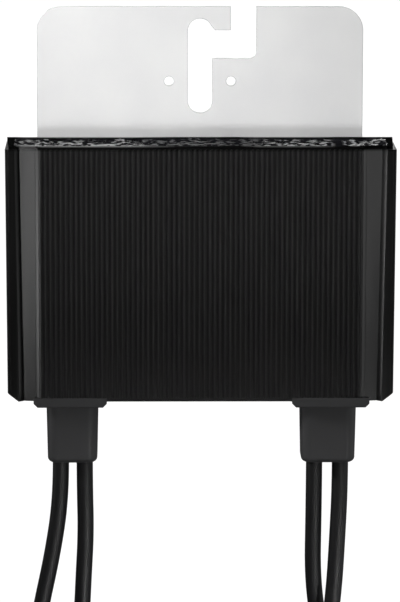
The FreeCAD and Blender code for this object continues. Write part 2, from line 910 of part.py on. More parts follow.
def make_nut(name, end):
    bore = size("cable_radius") + size("nut_wall_play")
    nose, radius = size("nut_nose_radius"), size("nut_radius")
    taper, length = -size("nut_taper"), -size("nut_length")
    corners = [(bore, 0), (nose, 0), (radius, taper), (radius, length), (bore, length)]
    body = turned(name, corners)
    grips = new_sketch(body, "XY_Plane", f"{name}_grip_outline", taper)
    circle(grips, (radius + size("grip_radius") / 2, 0), size("grip_radius"))
    groove = pocket(body, grips, size("nut_length"), f"{name}_grip")
    pattern = body.newObject("PartDesign::PolarPattern", f"{name}_grips")
    pattern.Originals = [groove]
    pattern.Axis = (grips, ["N_Axis"])
    pattern.Angle = 360
    bind(pattern, "Occurrences", size("grip_count"))
    body.Tip = pattern
    place_on_cable(body, end)
    return body


def make_plug_body(name, end):
    """The plug: a collar, a hollow sleeve round the pin and two sprung arms with barbs."""
    seat = -size("nut_length")
    tip = -size("connector_length")
    collar_end = seat - size("collar_length")
    bore = size("crimp_radius") + size("conductor_play")
    sleeve, cavity = size("sleeve_radius"), size("sleeve_bore")
    floor = tip + size("cavity_depth")
    corners = [(bore, seat), (size("collar_radius"), seat), (size("collar_radius"), collar_end)]
    corners += [(sleeve, collar_end), (sleeve, tip), (cavity, tip), (cavity, floor), (bore, floor)]
    body = turned(name, corners)
    arms = new_sketch(body, "XZ_Plane", f"{name}_arm_outline")
    for side in (-1, 1):
        outer = side * size("collar_radius")
        inner = side * (size("collar_radius") - size("arm_thickness"))
        hook = outer + side * size("barb")
        arm_end = collar_end - size("arm_length")
        barb_top = arm_end + size("barb") * 2
        points = [(inner, collar_end + size("barb")), (inner, arm_end), (outer, arm_end)]
        points += [(hook, barb_top), (outer, barb_top), (outer, collar_end + size("barb"))]
        outline(arms, points)
    pad(body, arms, size("arm_width"), f"{name}_arms", middle=True)
    place_on_cable(body, end)
    return body


def make_socket_body(name, end):
    """The socket: a shell with an inner nose that holds the contact and the sealing ring."""
    seat = -size("nut_length")
    tip = -size("connector_length")
    shell_end = seat - size("shell_length")
    floor = seat - size("collar_length")
    bore = size("crimp_radius") + size("conductor_play")
    shell, inner, nose = size("collar_radius"), size("sleeve_radius"), size("nose_radius")
    ring_top = floor - size("ring_section") * 2
    ring_foot = ring_top - size("ring_section") * 2
    groove = nose - size("ring_section")
    corners = [(bore, seat), (shell, seat), (shell, shell_end), (inner, shell_end), (inner, floor)]
    corners += [(nose, floor), (nose, ring_top), (groove, ring_top), (groove, ring_foot), (nose, ring_foot)]
    corners += [(nose, tip), (bore, tip)]
    body = turned(name, corners)
    place_on_cable(body, end)
    return body


def make_ring(name, end):
    """A rubber ring in the groove of the socket's nose."""
    ring = doc.addObject("Part::Torus", name)
    ring.Label = name
    bind(ring, "Radius1", size("nose_radius"))
    bind(ring, "Radius2", size("ring_section"))
    drop = size("nut_length") + size("collar_length") + size("ring_section") * 3
    ring.Placement = Placement(end + spot(0, 0, size("crimp_start") - drop), Rotation())
    return ring


def make_contact(name, end, is_pin):
    """A turned contact: a crimp barrel, a flange that rests on the body, and a pin or a socket."""
    start, seat = -size("crimp_start"), -size("nut_length")
    crimp, flange = size("crimp_radius"), size("contact_flange")
    rest = seat + size("contact_flange_thickness")
    tip = -size("connector_length") + size("pin_recess")
    floor = -size("connector_length") + size("cavity_depth")
    corners = [(0, start), (crimp, start), (crimp, rest), (flange, rest), (flange, seat), (crimp, seat)]
    if is_pin:
        pin_radius = size("pin_radius")
        corners += [(crimp, floor), (pin_radius, floor), (pin_radius, tip + pin_radius), (0, tip)]
    else:
        bore = size("socket_bore")
        corners += [(crimp, tip), (bore, tip), (bore, floor), (0, floor)]
    body = turned(name, corners)
    place_on_cable(body, end)
    return body


# The cables: straight runs joined by tangent arcs, through points chosen by hand


def cable_wire(points):
    """The runs and arcs of a route, and the smallest radius among the arcs."""
    edges = []
    radii = []
    start = points[0]
    for before, corner, after in zip(points, points[1:], points[2:]):
        back = (before - corner).normalize()
        ahead = (after - corner).normalize()
        turn = math.pi - back.getAngle(ahead)
        shorter = min((before - corner).Length, (after - corner).Length)
        radius = 0.45 * shorter / math.tan(turn / 2)
        reach = 0.45 * shorter
        middle = (back + ahead).normalize()
        bulge = radius / math.cos(turn / 2) - radius
        arc_start = corner + back * reach
        arc_end = corner + ahead * reach
        edges.append(Part.LineSegment(start, arc_start).toShape())
        edges.append(Part.Arc(arc_start, corner + middle * bulge, arc_end).toShape())
        start = arc_end
        radii.append(radius)
    edges.append(Part.LineSegment(start, points[-1]).toShape())
    return Part.Wire(edges), min(radii)


def make_cable(name, points):
    wire, tightest = cable_wire(points)
    radius = float(size("cable_radius"))
    ring = Part.Wire([Part.Circle(points[0], points[1] - points[0], radius).toShape()])
    shape = wire.makePipeShell([ring], True, True)
    expected = math.pi * radius * radius * wire.Length
    share = shape.Volume / expected
    print(f"{name}: {wire.Length:.1f} long, tightest radius {tightest:.1f}, volume {share:.4f}")
    cable = doc.addObject("Part::Feature", name)
    cable.Label = name
    cable.Shape = shape
    return cable


conductor_x = conductor_places()
input_exits = [spot(x, gland_middle, gland_foot) for x in conductor_x[:2]]
output_exits = [spot(x, gland_middle, gland_foot) for x in conductor_x[2:]]

# Steps from a cable's exit: right, back and down. The outer input cable bows out, the inner one hardly.
OUTER_INPUT = ((0, 0, 0), (0, 0, 13), (-3.0, 0.6, 33), (-7.6, 1.2, 54), (-11.0, 1.6, 77))
OUTER_INPUT += ((-12.4, 1.4, 101), (-12.9, 0.8, 126), (-12.6, 0.4, 148), (-12.6, 0.4, 161))
INNER_INPUT = ((0, 0, 0), (0, 0, 10), (0.35, 0.2, 25), (-0.6, 0.6, 42), (-1.6, 1.0, 64))
INNER_INPUT += ((-1.4, 1.1, 92), (-0.6, 0.9, 124), (-0.6, 0.9, 156))


def stepped(start, steps):
    return [start + Vector(x, y, -down) for x, y, down in steps]


# The output coils: five places round a bundle, one turn to each, so that the turns lie beside each other

BUNDLE_PLACES = 5
JOIN_ANGLE = 140.0
TURNS = 4 + (180.0 - JOIN_ANGLE) / 360.0
FIRST_PLACE = 36.0
STEEP_ANGLE = math.radians(20.0)

coil_middle_x = float(gland_offset)
coil_middle_z = -float(size("coil_drop"))
bundle_radius = float(size("cable_radius")) / math.sin(math.pi / BUNDLE_PLACES)
coil_thickness = bundle_radius + float(size("cable_radius")) + float(size("coil_slack"))
coil_shift = coil_thickness + float(size("coil_gap")) / 2


def coil_point(turns, side, middle_y):
    """A point of the wound cable. The side is 1 for the coil in front and -1 for the one behind."""
    place = math.radians(FIRST_PLACE + turns * 360.0 / BUNDLE_PLACES)
    radius = float(size("coil_radius")) + bundle_radius * math.cos(place)
    angle = math.radians(JOIN_ANGLE + 360.0 * turns)
    x = coil_middle_x + side * radius * math.cos(angle)
    y = middle_y + side * bundle_radius * math.sin(place)
    return Vector(x, y, coil_middle_z + radius * math.sin(angle))


def make_coil(name, side):
    """The outer shape of a coil: a ring, with a short length of cable where each end leaves it."""
    middle_y = float(gland_middle) - side * coil_shift
    ring = doc.addObject("Part::Torus", f"{name}_ring")
    bind(ring, "Radius1", size("coil_radius"))
    ring.Radius2 = coil_thickness
    centre = Vector(coil_middle_x, middle_y, coil_middle_z)
    ring.Placement = Placement(centre, Rotation(Vector(1, 0, 0), 90))
    entry = coil_point(0, side, middle_y)
    exit_point = coil_point(TURNS, side, middle_y)
    slant = math.radians(JOIN_ANGLE - 90)
    back_up = Vector(side * math.cos(slant), 0, math.sin(slant))
    pieces = [ring]
    for label, start, along in (("entry", entry, back_up), ("exit", exit_point, Vector(0, 0, -1))):
        stub = doc.addObject("Part::Cylinder", f"{name}_{label}")
        bind(stub, "Radius", size("cable_radius"))
        bind(stub, "Height", size("stub_length"))
        stub.Placement = Placement(start, Rotation(Vector(0, 0, 1), along))
        pieces.append(stub)
    length = float(size("stub_length"))
    return fused(name, pieces), entry + back_up * length, exit_point - Vector(0, 0, length), back_up


def make_ties():
    """Two straps, each a flat loop round both coils with its head inside the ring."""
    gap = size("tie_gap")
    radius = Quantity(coil_thickness, repr(coil_thickness)) + gap
    shift = Quantity(coil_shift, repr(coil_shift))
    pieces = []
    for number, sign in enumerate((1, -1)):
        body = new_body(f"coil_tie_{number}")
        centre_z = Quantity(coil_middle_z, repr(coil_middle_z)) + sign * size("coil_radius")
        middle = gland_offset
        loop = new_sketch(body, "YZ_Plane", f"tie_loop_{number}", middle)
        flat_oblong(loop, gland_middle, centre_z, shift, radius + size("tie_thickness"))
        pad(body, loop, size("tie_width"), f"tie_band_{number}", middle=True)
        inside = new_sketch(body, "YZ_Plane", f"tie_inside_{number}", middle)
        flat_oblong(inside, gland_middle, centre_z, shift, radius)
        pocket(body, inside, size("tie_width") * 2, f"tie_opening_{number}", middle=True)
        head = new_sketch(body, "YZ_Plane", f"tie_head_outline_{number}", middle)
        face = centre_z - sign * (radius + size("tie_thickness") / 2)
        end = face - sign * size("tie_head") / 2
        half = size("tie_head") / 2
        low, high = sorted((face, end), key=float)
        rectangle(head, (gland_middle - half, low), (gland_middle + half, high))
        pad(body, head, size("tie_width") * 1.5, f"tie_head_{number}", middle=True)
        pieces.append(body)
    return group("coil_ties", pieces)


def flat_oblong(sketch, middle_y, middle_z, shift, radius):
    """Half circles at the left and right of a middle, joined by level lines."""
    left, right = middle_y - shift, middle_y + shift
    up = Vector(0, 0, 1)
    quarter = math.pi / 2
    circle_left = Part.Circle(flat((left, middle_z)), up, float(radius))
    circle_right = Part.Circle(flat((right, middle_z)), up, float(radius))
    arc_left = Part.ArcOfCircle(circle_left, quarter, 3 * quarter)
    arc_right = Part.ArcOfCircle(circle_right, -quarter, quarter)
    foot = Part.LineSegment(flat((left, middle_z - radius)), flat((right, middle_z - radius)))
    top = Part.LineSegment(flat((right, middle_z + radius)), flat((left, middle_z + radius)))
    first, second, third, fourth = sketch.addGeometry([arc_left, foot, arc_right, top])
    ends = ((first, 2, second, 1), (second, 2, third, 1), (third, 2, fourth, 1), (fourth, 2, first, 1))
    sketch.addConstraint([Sketcher.Constraint("Tangent", *end) for end in ends])
    pin(sketch, first, 3, (left, middle_z))
    pin(sketch, third, 3, (right, middle_z))
    number = sketch.addConstraint(Sketcher.Constraint("Radius", first, float(radius)))
    bind(sketch, f"Constraints[{number}]", radius)


# The resin: what is left of the box's inside below the fill level, round all that it covers


def make_potting(buried):
    body = new_body("resin_fill")
    fill = new_sketch(body, "XY_Plane", "fill_outline", inner_floor)
    outline(fill, cavity_corners())
    pad(body, fill, box_top - size("resin_level") - inner_floor, "fill")
    bosses = new_sketch(body, "XZ_Plane", "fill_boss_outline", -inner_back)
    for x, z in screw_places:
        circle(bosses, (x, z), size("boss_radius"))
    pocket(body, bosses, size("boss_height"), "boss_hollows", away=True)
    covered = doc.addObject("Part::Compound", "covered_pieces")
    covered.Links = buried
    result = cut("potting", body, covered)
    return result


nodes = {}


def keep(thing, name=None):
    nodes[name or thing.Label] = thing
    return thing


keep(make_bracket())
keep(make_housing())
keep(make_gland("input_gland", -1, "input_gland_width"))
keep(make_gland("output_gland", 1, "output_gland_width"))
keep(screw_set("bracket_screws", 0))
keep(make_board())
for label, sign in (("left", -1), ("right", 1)):
    keep(make_core(f"inductor_core_{label}", sign * core_place))
    keep(make_winding(f"inductor_winding_{label}", sign * core_place))
spread = [(number - 1.5) * column * size("transistor_pitch_share") for number in range(4)]
row = [make_transistor(f"transistor_{number}", x, transistor_drop) for number, x in enumerate(spread)]
keep(group("power_transistors", row))
keep(make_transistor("bypass_diode", column, transistor_drop))
keep(make_capacitors("input_capacitors", -1))
keep(make_capacitors("output_capacitors", 1))
keep(make_chip())
keep(make_transformer())
keep(make_shunt())
polarity = ("input_negative", "input_positive", "output_negative", "output_positive")
for kind, x in zip(polarity, conductor_x):
    keep(make_conductor(f"{kind}_conductor", x))
keep(make_potting(list(nodes.values())))

routes = {
    "input_negative": stepped(input_exits[0], OUTER_INPUT),
    "input_positive": stepped(input_exits[1], INNER_INPUT),
}
ends = {}
for kind, route in routes.items():
    keep(make_cable(f"{kind}_cable", route))
    ends[kind] = route[-1]

# Each output cable leans across into its coil, and its tail hangs down from the coil's other side.
FRONT_LEAN = ((0, 0, 0), (0, 0, 10), (-0.6, 0.12, 24), (-1.9, 0.55, 46))
BACK_LEAN = ((0, 0, 0), (0, 0, 14), (-0.3, 0.5, 46))
TAIL_STEPS = ((0, 0, 0), (0, 0, 8), (1.2, 1.2, 22), (1.2, 1.2, 34))
COIL_FEEDS = {
    "output_positive": (output_exits[1], 1, FRONT_LEAN),
    "output_negative": (output_exits[0], -1, BACK_LEAN),
}
for kind, (exit_point, side, lean_steps) in COIL_FEEDS.items():
    coil, entry, leaving, back_up = make_coil(f"{kind}_coil", side)
    keep(coil)
    lean = entry + back_up * float(size("lean_length"))
    steep = Vector(side * math.sin(STEEP_ANGLE), 0, math.cos(STEEP_ANGLE))
    shoulder = lean + steep * float(size("shoulder_length"))
    drift = shoulder.y - exit_point.y
    lead = [exit_point + Vector(x, drift * share, -down) for x, share, down in lean_steps]
    keep(make_cable(f"{kind}_cable", lead + [shoulder, lean, entry]))
    tail = [leaving + Vector(-side * x, -side * y, -down) for x, y, down in TAIL_STEPS]
    keep(make_cable(f"{kind}_tail", tail))
    ends[kind] = tail[-1]
keep(make_ties())

for kind, end in ends.items():
    is_plug = kind.endswith("positive")
    keep(make_nut(f"{kind}_connector_nut", end))
    keep(make_contact(f"{kind}_contact", end, is_plug))
    if is_plug:
        keep(make_plug_body(f"{kind}_plug", end))
    else:
        keep(make_socket_body(f"{kind}_socket", end))
        keep(make_ring(f"{kind}_seal", end))

doc.recompute()

for thing in doc.Objects:
    if "Invalid" in thing.State or "Error" in thing.State:
        raise ValueError(f"{thing.Label} failed")
for name, thing in nodes.items():
    if thing.Shape.isNull() or not thing.Shape.isValid() or not thing.Shape.Solids:
        raise ValueError(f"{name} has no sound solid")

os.makedirs("parts", exist_ok=True)
for name, thing in nodes.items():
    thing.Shape.exportStep(f"parts/{name}.step")
    print(f"{name}: {len(thing.Shape.Solids)} solids, {thing.Shape.Volume:.0f} mm3")
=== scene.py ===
# %% [markdown]
# A solar power optimizer: the small black box that hangs behind a solar panel and sets the best
# voltage for it. It has a ribbed moulded case full of poured resin, a steel bracket that hooks over
# a bolt of the rail, and two moulded glands with two cables each. The solids come packed from the
# CAD step, already in place and in metres, so every piece made here is placed by their numbers.

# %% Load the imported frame
import math

import bmesh
import bpy
from mathutils import Matrix, Vector, noise


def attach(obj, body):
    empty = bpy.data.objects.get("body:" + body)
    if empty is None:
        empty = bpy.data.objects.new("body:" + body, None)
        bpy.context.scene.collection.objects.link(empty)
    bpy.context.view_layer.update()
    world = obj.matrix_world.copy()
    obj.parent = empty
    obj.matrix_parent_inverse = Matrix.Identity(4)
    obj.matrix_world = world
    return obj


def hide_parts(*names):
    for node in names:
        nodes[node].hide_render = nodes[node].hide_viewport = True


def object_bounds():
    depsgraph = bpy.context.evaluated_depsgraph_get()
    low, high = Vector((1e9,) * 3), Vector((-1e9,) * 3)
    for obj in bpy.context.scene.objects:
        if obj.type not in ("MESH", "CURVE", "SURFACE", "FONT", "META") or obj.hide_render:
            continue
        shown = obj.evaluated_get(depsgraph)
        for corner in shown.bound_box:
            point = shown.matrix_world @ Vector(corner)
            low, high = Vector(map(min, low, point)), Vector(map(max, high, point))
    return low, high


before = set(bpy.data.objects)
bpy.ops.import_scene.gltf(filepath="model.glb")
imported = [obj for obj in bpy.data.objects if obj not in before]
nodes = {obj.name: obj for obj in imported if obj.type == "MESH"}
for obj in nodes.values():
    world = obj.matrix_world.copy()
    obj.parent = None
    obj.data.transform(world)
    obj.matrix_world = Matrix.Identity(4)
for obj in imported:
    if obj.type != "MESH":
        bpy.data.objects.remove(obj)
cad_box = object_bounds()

MM = 0.001
print(f"{len(nodes)} nodes, box {cad_box}")

# %% [markdown]
# The camera stands where the photographer's did: nearly straight in front, about ten degrees above,
# with a long lens. Its place and lens were worked out from the corners of the case, the plate and
# the glands in the photograph, so nothing is placed by eye.

# %% Aim the camera
CAMERA_TARGET = Vector((-0.00005, -0.014, -0.08937))
CAMERA_AZIMUTH = math.radians(-0.86)
CAMERA_ELEVATION = math.radians(9.8)
CAMERA_ROLL = math.radians(0.1)
CAMERA_DISTANCE = 1.3
NEAREST_SEEN = 0.05
IMAGE_LONG_SIDE = 602
FOCAL_PIXELS = 3889.5
SENSOR_WIDTH = 36.0


def add_object(name, data):
    """Adds an object to the scene."""
    made = bpy.data.objects.new(name, data)
    bpy.context.scene.collection.objects.link(made)
    return made


camera = add_object("camera", bpy.data.cameras.new("camera"))
camera.data.sensor_width = SENSOR_WIDTH
camera.data.lens = FOCAL_PIXELS * camera.data.sensor_width / IMAGE_LONG_SIDE
camera.data.clip_start = NEAREST_SEEN
away = Vector((
    math.sin(CAMERA_AZIMUTH) * math.cos(CAMERA_ELEVATION),
    -math.cos(CAMERA_AZIMUTH) * math.cos(CAMERA_ELEVATION),
    math.sin(CAMERA_ELEVATION),
))
aim = (-away).to_track_quat("-Z", "Y").to_matrix() @ Matrix.Rotation(CAMERA_ROLL, 3, "Z")
camera.matrix_world = Matrix.Translation(CAMERA_TARGET + away * CAMERA_DISTANCE) @ aim.to_4x4()
bpy.context.scene.camera = camera
bpy.context.scene.view_settings.view_transform = "Standard"
print(f"lens {camera.data.lens:.1f} mm")

# %% [markdown]
# Every material is made from nodes. Two small helpers keep that readable: one adds a node with its
# settings and its inputs, and one turns a colour written as on the screen into the linear numbers
# that light is reckoned in. A Mix node has several sockets of the same name, one for each kind of
# value, so they go by number, and the numbers get names here.

# %% Helpers for colours and nodes
COLOURS = {"data_type": "RGBA"}
NUMBERS = {"data_type": "FLOAT"}
PRODUCT = {"operation": "MULTIPLY"}
SHARE, FIRST_NUMBER, SECOND_NUMBER, FIRST_COLOUR, SECOND_COLOUR = 0, 2, 3, 6, 7
MIXED_COLOUR = 2


def linear(code):
    """Turns a hex colour such as #1A1A1A into linear red, green, blue and alpha."""
    parts = [int(code[start:start + 2], 16) / 255 for start in (1, 3, 5)]
    return tuple(((c + 0.055) / 1.055) ** 2.4 if c > 0.04045 else c / 12.92 for c in parts) + (1.0,)


def add_node(tree, kind, settings=None, inputs=None):
    """Adds one node. An input is a number, a colour or another node's output."""
    made = tree.nodes.new(kind)
    for name, value in (settings or {}).items():
        setattr(made, name, value)
    for name, value in (inputs or {}).items():
        if isinstance(value, bpy.types.NodeSocket):
            tree.links.new(value, made.inputs[name])
        else:
            made.inputs[name].default_value = value
    return made


WHITE = linear("#FFFFFF")
print("white is", WHITE)

# %% [markdown]
# A cable is a fixed length of something flexible, so it is one smooth curve with a round section.
# The jacket is black cross-linked polyolefin, 5.5 mm across, drawn smooth but never polished: it
# gives a soft highlight down one side and a faint waviness where it was wound on its drum. The
# pattern reads object coordinates, stretched along the length, because the cables mostly hang.
# Noise keeps mostly between 0.3 and 0.7, so that range of it is what a finish is spread over.

# %% Cable jacket: extruded polyolefin
NOISE_LOW, NOISE_HIGH = 0.3, 0.7


def make_material(name, **surface):
    """Starts a material and gives back its tree, its shader and object coordinates."""
    material = bpy.data.materials.new(name)
    material.use_nodes = True
    tree = material.node_tree
    shader = tree.nodes["Principled BSDF"]
    for socket, value in surface.items():
        shader.inputs[socket.replace("_", " ")].default_value = value
    place = add_node(tree, "ShaderNodeTexCoord").outputs["Object"]
    return material, tree, shader, place


def grain(tree, place, spot_mm, stretch=(1, 1, 1), detail=3.0):
    """A noise whose spots are about the given size in millimetres."""
    mapped = add_node(tree, "ShaderNodeMapping", inputs={"Vector": place, "Scale": stretch})
    spots = {"Vector": mapped.outputs["Vector"], "Scale": 1 / (spot_mm * MM), "Detail": detail}
    return add_node(tree, "ShaderNodeTexNoise", inputs=spots).outputs["Fac"]


def colour_and_gloss(tree, shader, pattern, colours, roughness):
    """Lets a pattern lead from one hex colour to the other, and from one roughness to the other."""
    first, second = (linear(code) for code in colours)
    ends = {SHARE: pattern, FIRST_COLOUR: first, SECOND_COLOUR: second}
    colour = add_node(tree, "ShaderNodeMix", COLOURS, ends).outputs[MIXED_COLOUR]
    tree.links.new(colour, shader.inputs["Base Color"])
    limits = {"Value": pattern, "From Min": NOISE_LOW, "From Max": NOISE_HIGH}
    limits["To Min"], limits["To Max"] = roughness
    gloss = add_node(tree, "ShaderNodeMapRange", inputs=limits)
    tree.links.new(gloss.outputs["Result"], shader.inputs["Roughness"])
    return colour


def relief(tree, shader, height, depth_mm, strength, edge_mm=0.0):
    """Turns a pattern into bumps of a real depth, with edges softened by a real radius."""
    settings = {"Height": height, "Distance": depth_mm * MM, "Strength": strength}
    bump = add_node(tree, "ShaderNodeBump", inputs=settings)
    if edge_mm:
        edge = add_node(tree, "ShaderNodeBevel", {"samples": 6}, {"Radius": edge_mm * MM})
        tree.links.new(edge.outputs["Normal"], bump.inputs["Normal"])
    tree.links.new(bump.outputs["Normal"], shader.inputs["Normal"])


def extruded_polyolefin():
    material, tree, shader, place = make_material(
        "cable_jacket_polyolefin", IOR=1.5, Specular_IOR_Level=0.3,
    )
    colour_and_gloss(tree, shader, grain(tree, place, 14.0), ("#08080A", "#111112"), (0.48, 0.6))
    relief(tree, shader, grain(tree, place, 1.2, (1, 1, 0.15)), 0.05, 0.4)
    return material


cable_jacket = extruded_polyolefin()
print("made", cable_jacket.name)

# %% [markdown]
# The two input cables hang from the left gland, 0.16 m each, to plug straight into the panel. The
# curve is a NURBS spline through the air near the same points as the CAD tube's corners: such a
# spline cuts each corner in one smooth sweep, as a stiff cable does. Places on the object are in
# millimetres from here on, and turn into metres where a piece is made.

# %% Input cables
CABLE_ACROSS = 5.5
CABLE_DIAMETER = CABLE_ACROSS * MM
# Where a gland's foot is: its height, how far it stands to each side, and how far back.
GLAND_FOOT = -142.8
GLAND_PLACE = 42.7
GLAND_MIDDLE = -16.5


def add_piece(name, data):
    """Adds a piece, which rides on the one body that the unit has."""
    piece = add_object(name, data)
    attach(piece, "root")
    return piece


def hang_cable(name, points):
    """One open NURBS spline with a round section, through control points in millimetres."""
    curve = bpy.data.curves.new(name, "CURVE")
    curve.dimensions = "3D"
    spline = curve.splines.new("NURBS")
    spline.points.add(len(points) - 1)
    for control, point in zip(spline.points, points):
        control.co = (*(Vector(point) * MM), 1.0)
    spline.order_u = 3
    spline.use_endpoint_u = True
    spline.resolution_u = 8
    curve.bevel_depth = CABLE_DIAMETER / 2
    curve.bevel_resolution = 5
    curve.use_fill_caps = True
    curve.materials.append(cable_jacket)
    cable = add_piece(name, curve)
    print(name, len(points), "points")
    return cable


def connector_shells(kind):
    """A plus cable ends in a plug, and a minus cable in a socket with a seal in it."""
    return ["plug"] if kind.endswith("positive") else ["socket", "seal"]


# Where each cable leaves the gland, and then its points: how far to the right, back and down.
INPUT_STEPS = {
    "input_negative": (-46.7, (
        (0, 0, 0), (0, 0, 13), (-3.0, 0.6, 33), (-7.6, 1.2, 54), (-11.0, 1.6, 77),
        (-12.4, 1.4, 101), (-12.9, 0.8, 126), (-12.6, 0.4, 148), (-12.6, 0.4, 161),
    )),
    "input_positive": (-38.7, (
        (0, 0, 0), (0, 0, 10), (0.35, 0.2, 25), (-0.6, 0.6, 42), (-1.6, 1.0, 64),
        (-1.4, 1.1, 92), (-0.6, 0.9, 124), (-0.6, 0.9, 156),
    )),
}
for kind, (exit_x, steps) in INPUT_STEPS.items():
    points = [(exit_x + x, GLAND_MIDDLE + y, GLAND_FOOT - down) for x, y, down in steps]
    cable = hang_cable(f"{kind}_lead", points)
    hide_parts(f"{kind}_cable")

# %% [markdown]
# The two output cables are 0.98 m long, to reach the next panel's unit, and most of that isn't in
# the photograph. As it comes out of its carton, each is wound into a neat ring of four turns, and
# two straps hold both rings together. In a section through the ring the turns take the places of a
# five-sided bundle, one place further round with each turn, so they lie beside and on each other.

# %% Output cables: the ring of turns
# Lengths are in millimetres and angles in degrees. The first place is where in the bundle the
# first turn lies, and the join angle is where on the ring the cable comes in.
BUNDLE_PLACES = 5
FIRST_PLACE = 36.0
COIL_RADIUS = 32.0
COIL_HEIGHT = -275.0
COIL_GAP = 0.6
JOIN_ANGLE = 140.0
WHOLE_TURNS = 4
COIL_TURNS = WHOLE_TURNS + (180.0 - JOIN_ANGLE) / 360.0
POINTS_PER_TURN = 24
bundle_radius = CABLE_ACROSS / 2 / math.sin(math.pi / BUNDLE_PLACES)
coil_shift = bundle_radius + CABLE_ACROSS / 2 + COIL_GAP
# The spline runs a little inside its control points, so they stand that much further out.
outset = 1 / math.cos(math.pi / POINTS_PER_TURN)
print(f"coil of {COIL_TURNS:.2f} turns in a bundle {2 * bundle_radius + CABLE_ACROSS:.1f} mm thick")


def coil_point(turns, side, stand_out=1.0):
    """A point of the wound cable. The side is 1 for the coil in front and -1 for the one behind."""
    place = math.radians(FIRST_PLACE + turns * 360.0 / BUNDLE_PLACES)
    radius = (COIL_RADIUS + bundle_radius * math.cos(place)) * stand_out
    angle = math.radians(JOIN_ANGLE + 360.0 * turns)
    middle_y = GLAND_MIDDLE - side * coil_shift
    x = GLAND_PLACE + side * radius * math.cos(angle)
    y = middle_y + side * bundle_radius * math.sin(place)
    return Vector((x, y, COIL_HEIGHT + radius * math.sin(angle)))


# %% Output cables: from the gland to the connector
# On its way down a cable turns over a steep shoulder, leans in along a slant, and runs on straight
# for a stub before it joins the ring. Its tail leaves the ring straight down.
SLANT = math.radians(JOIN_ANGLE - 90)
STEEP = math.radians(20.0)
STUB, LEAN, SHOULDER = 22.5, 12.0, 13.0
TAIL_STEPS = ((0, 0, 0), (0, 0, 8), (1.2, 1.2, 22), (1.2, 1.2, 34))


def output_route(exit_x, side, first_steps):
    """From the gland, across into the coil, round it, and down to the connector."""
    back_up = Vector((side * math.cos(SLANT), 0, math.sin(SLANT)))
    entry = coil_point(0, side) + back_up * STUB
    lean = entry + back_up * LEAN
    shoulder = lean + Vector((side * math.sin(STEEP), 0, math.cos(STEEP))) * SHOULDER
    drift = shoulder.y - GLAND_MIDDLE
    route = [
        Vector((exit_x + x, GLAND_MIDDLE + drift * share, GLAND_FOOT - down))
        for x, share, down in first_steps
    ]
    route += [shoulder, lean, entry]
    count = round(COIL_TURNS * POINTS_PER_TURN)
    route += [coil_point(COIL_TURNS * step / count, side, outset) for step in range(1, count)]
    last = coil_point(COIL_TURNS, side)
    leaving = last - Vector((0, 0, STUB))
    tail = [leaving + Vector((-side * x, -side * y, -down)) for x, y, down in TAIL_STEPS]
    return route + [last] + tail


# Where each cable leaves the gland, its side, and its first points: how far to the right, the share
# of the way back or forward to its coil, and how far down. The straps are listed with the first
# one.
OUTPUTS = {
    "output_positive": (
        47.05, 1, ((0, 0, 0), (0, 0, 10), (-0.6, 0.12, 24), (-1.9, 0.55, 46)), ["coil_ties"],
    ),
    "output_negative": (38.35, -1, ((0, 0, 0), (0, 0, 14), (-0.3, 0.5, 46)), []),
}
for kind, (exit_x, side, first_steps, extra) in OUTPUTS.items():
    points = output_route(exit_x, side, first_steps)
    cable = hang_cable(f"{kind}_lead", points)
    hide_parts(f"{kind}_cable", f"{kind}_coil", f"{kind}_tail")

# %% [markdown]
# The studio is plain. The camera sees a white floor and a white world, but the world lights the
# object with only a quarter of that white, so that the lamps can shape it. What shines mirrors
# something else again: white paper that runs up behind the object, and a dim room in front of it,
# so that the black plastic stays black.

# %% Floor
FLOOR_GAP = 0.004
FLOOR_REACH = 4.0
FLOOR_GLOW = 1.05


def make_floor():
    """Paper under the object: plain white for the camera, and darker where it is mirrored."""
    mesh = bpy.data.meshes.new("studio_floor")
    low = min(cad_box[0][2], cad_box[1][2]) - FLOOR_GAP
    signs = ((-1, -1), (1, -1), (1, 1), (-1, 1))
    corners = [(x * FLOOR_REACH, y * FLOOR_REACH, low) for x, y in signs]
    mesh.from_pydata(corners, [], [(0, 1, 2, 3)])
    floor = add_object("studio_floor", mesh)
    material = bpy.data.materials.new("studio_paper")
    material.use_nodes = True
    tree = material.node_tree
    tree.nodes.clear()
    ray = add_node(tree, "ShaderNodeLightPath").outputs
    ends = {FIRST_COLOUR: linear("#F2F2F2"), SECOND_COLOUR: linear("#3A3A3A")}
    paper = add_node(tree, "ShaderNodeMix", COLOURS, {SHARE: ray["Is Glossy Ray"], **ends})
    plain = add_node(tree, "ShaderNodeBsdfDiffuse", inputs={"Color": paper.outputs[MIXED_COLOUR]})
    glow = add_node(tree, "ShaderNodeEmission", inputs={"Color": WHITE, "Strength": FLOOR_GLOW})
    sides = {0: ray["Is Camera Ray"], 1: plain.outputs[0], 2: glow.outputs[0]}
    mixed = add_node(tree, "ShaderNodeMixShader", inputs=sides)
    add_node(tree, "ShaderNodeOutputMaterial", inputs={"Surface": mixed.outputs[0]})
    mesh.materials.append(material)
    print(f"floor at {low:.4f} m")


make_floor()

# %% World
AMBIENT = 0.25
# How bright the mirrored room is, from the front to the back, where -1 is straight in front of the
# object and 1 straight behind. Then the share of that which is left from low to high, where 1 is
# straight above.
ROOM_LIGHT = {"From Min": -0.3, "From Max": 0.6, "To Min": 0.06, "To Max": 0.6}
CEILING_SHARE = {"From Min": 0.3, "From Max": 0.7, "To Min": 1.0, "To Max": 0.1}


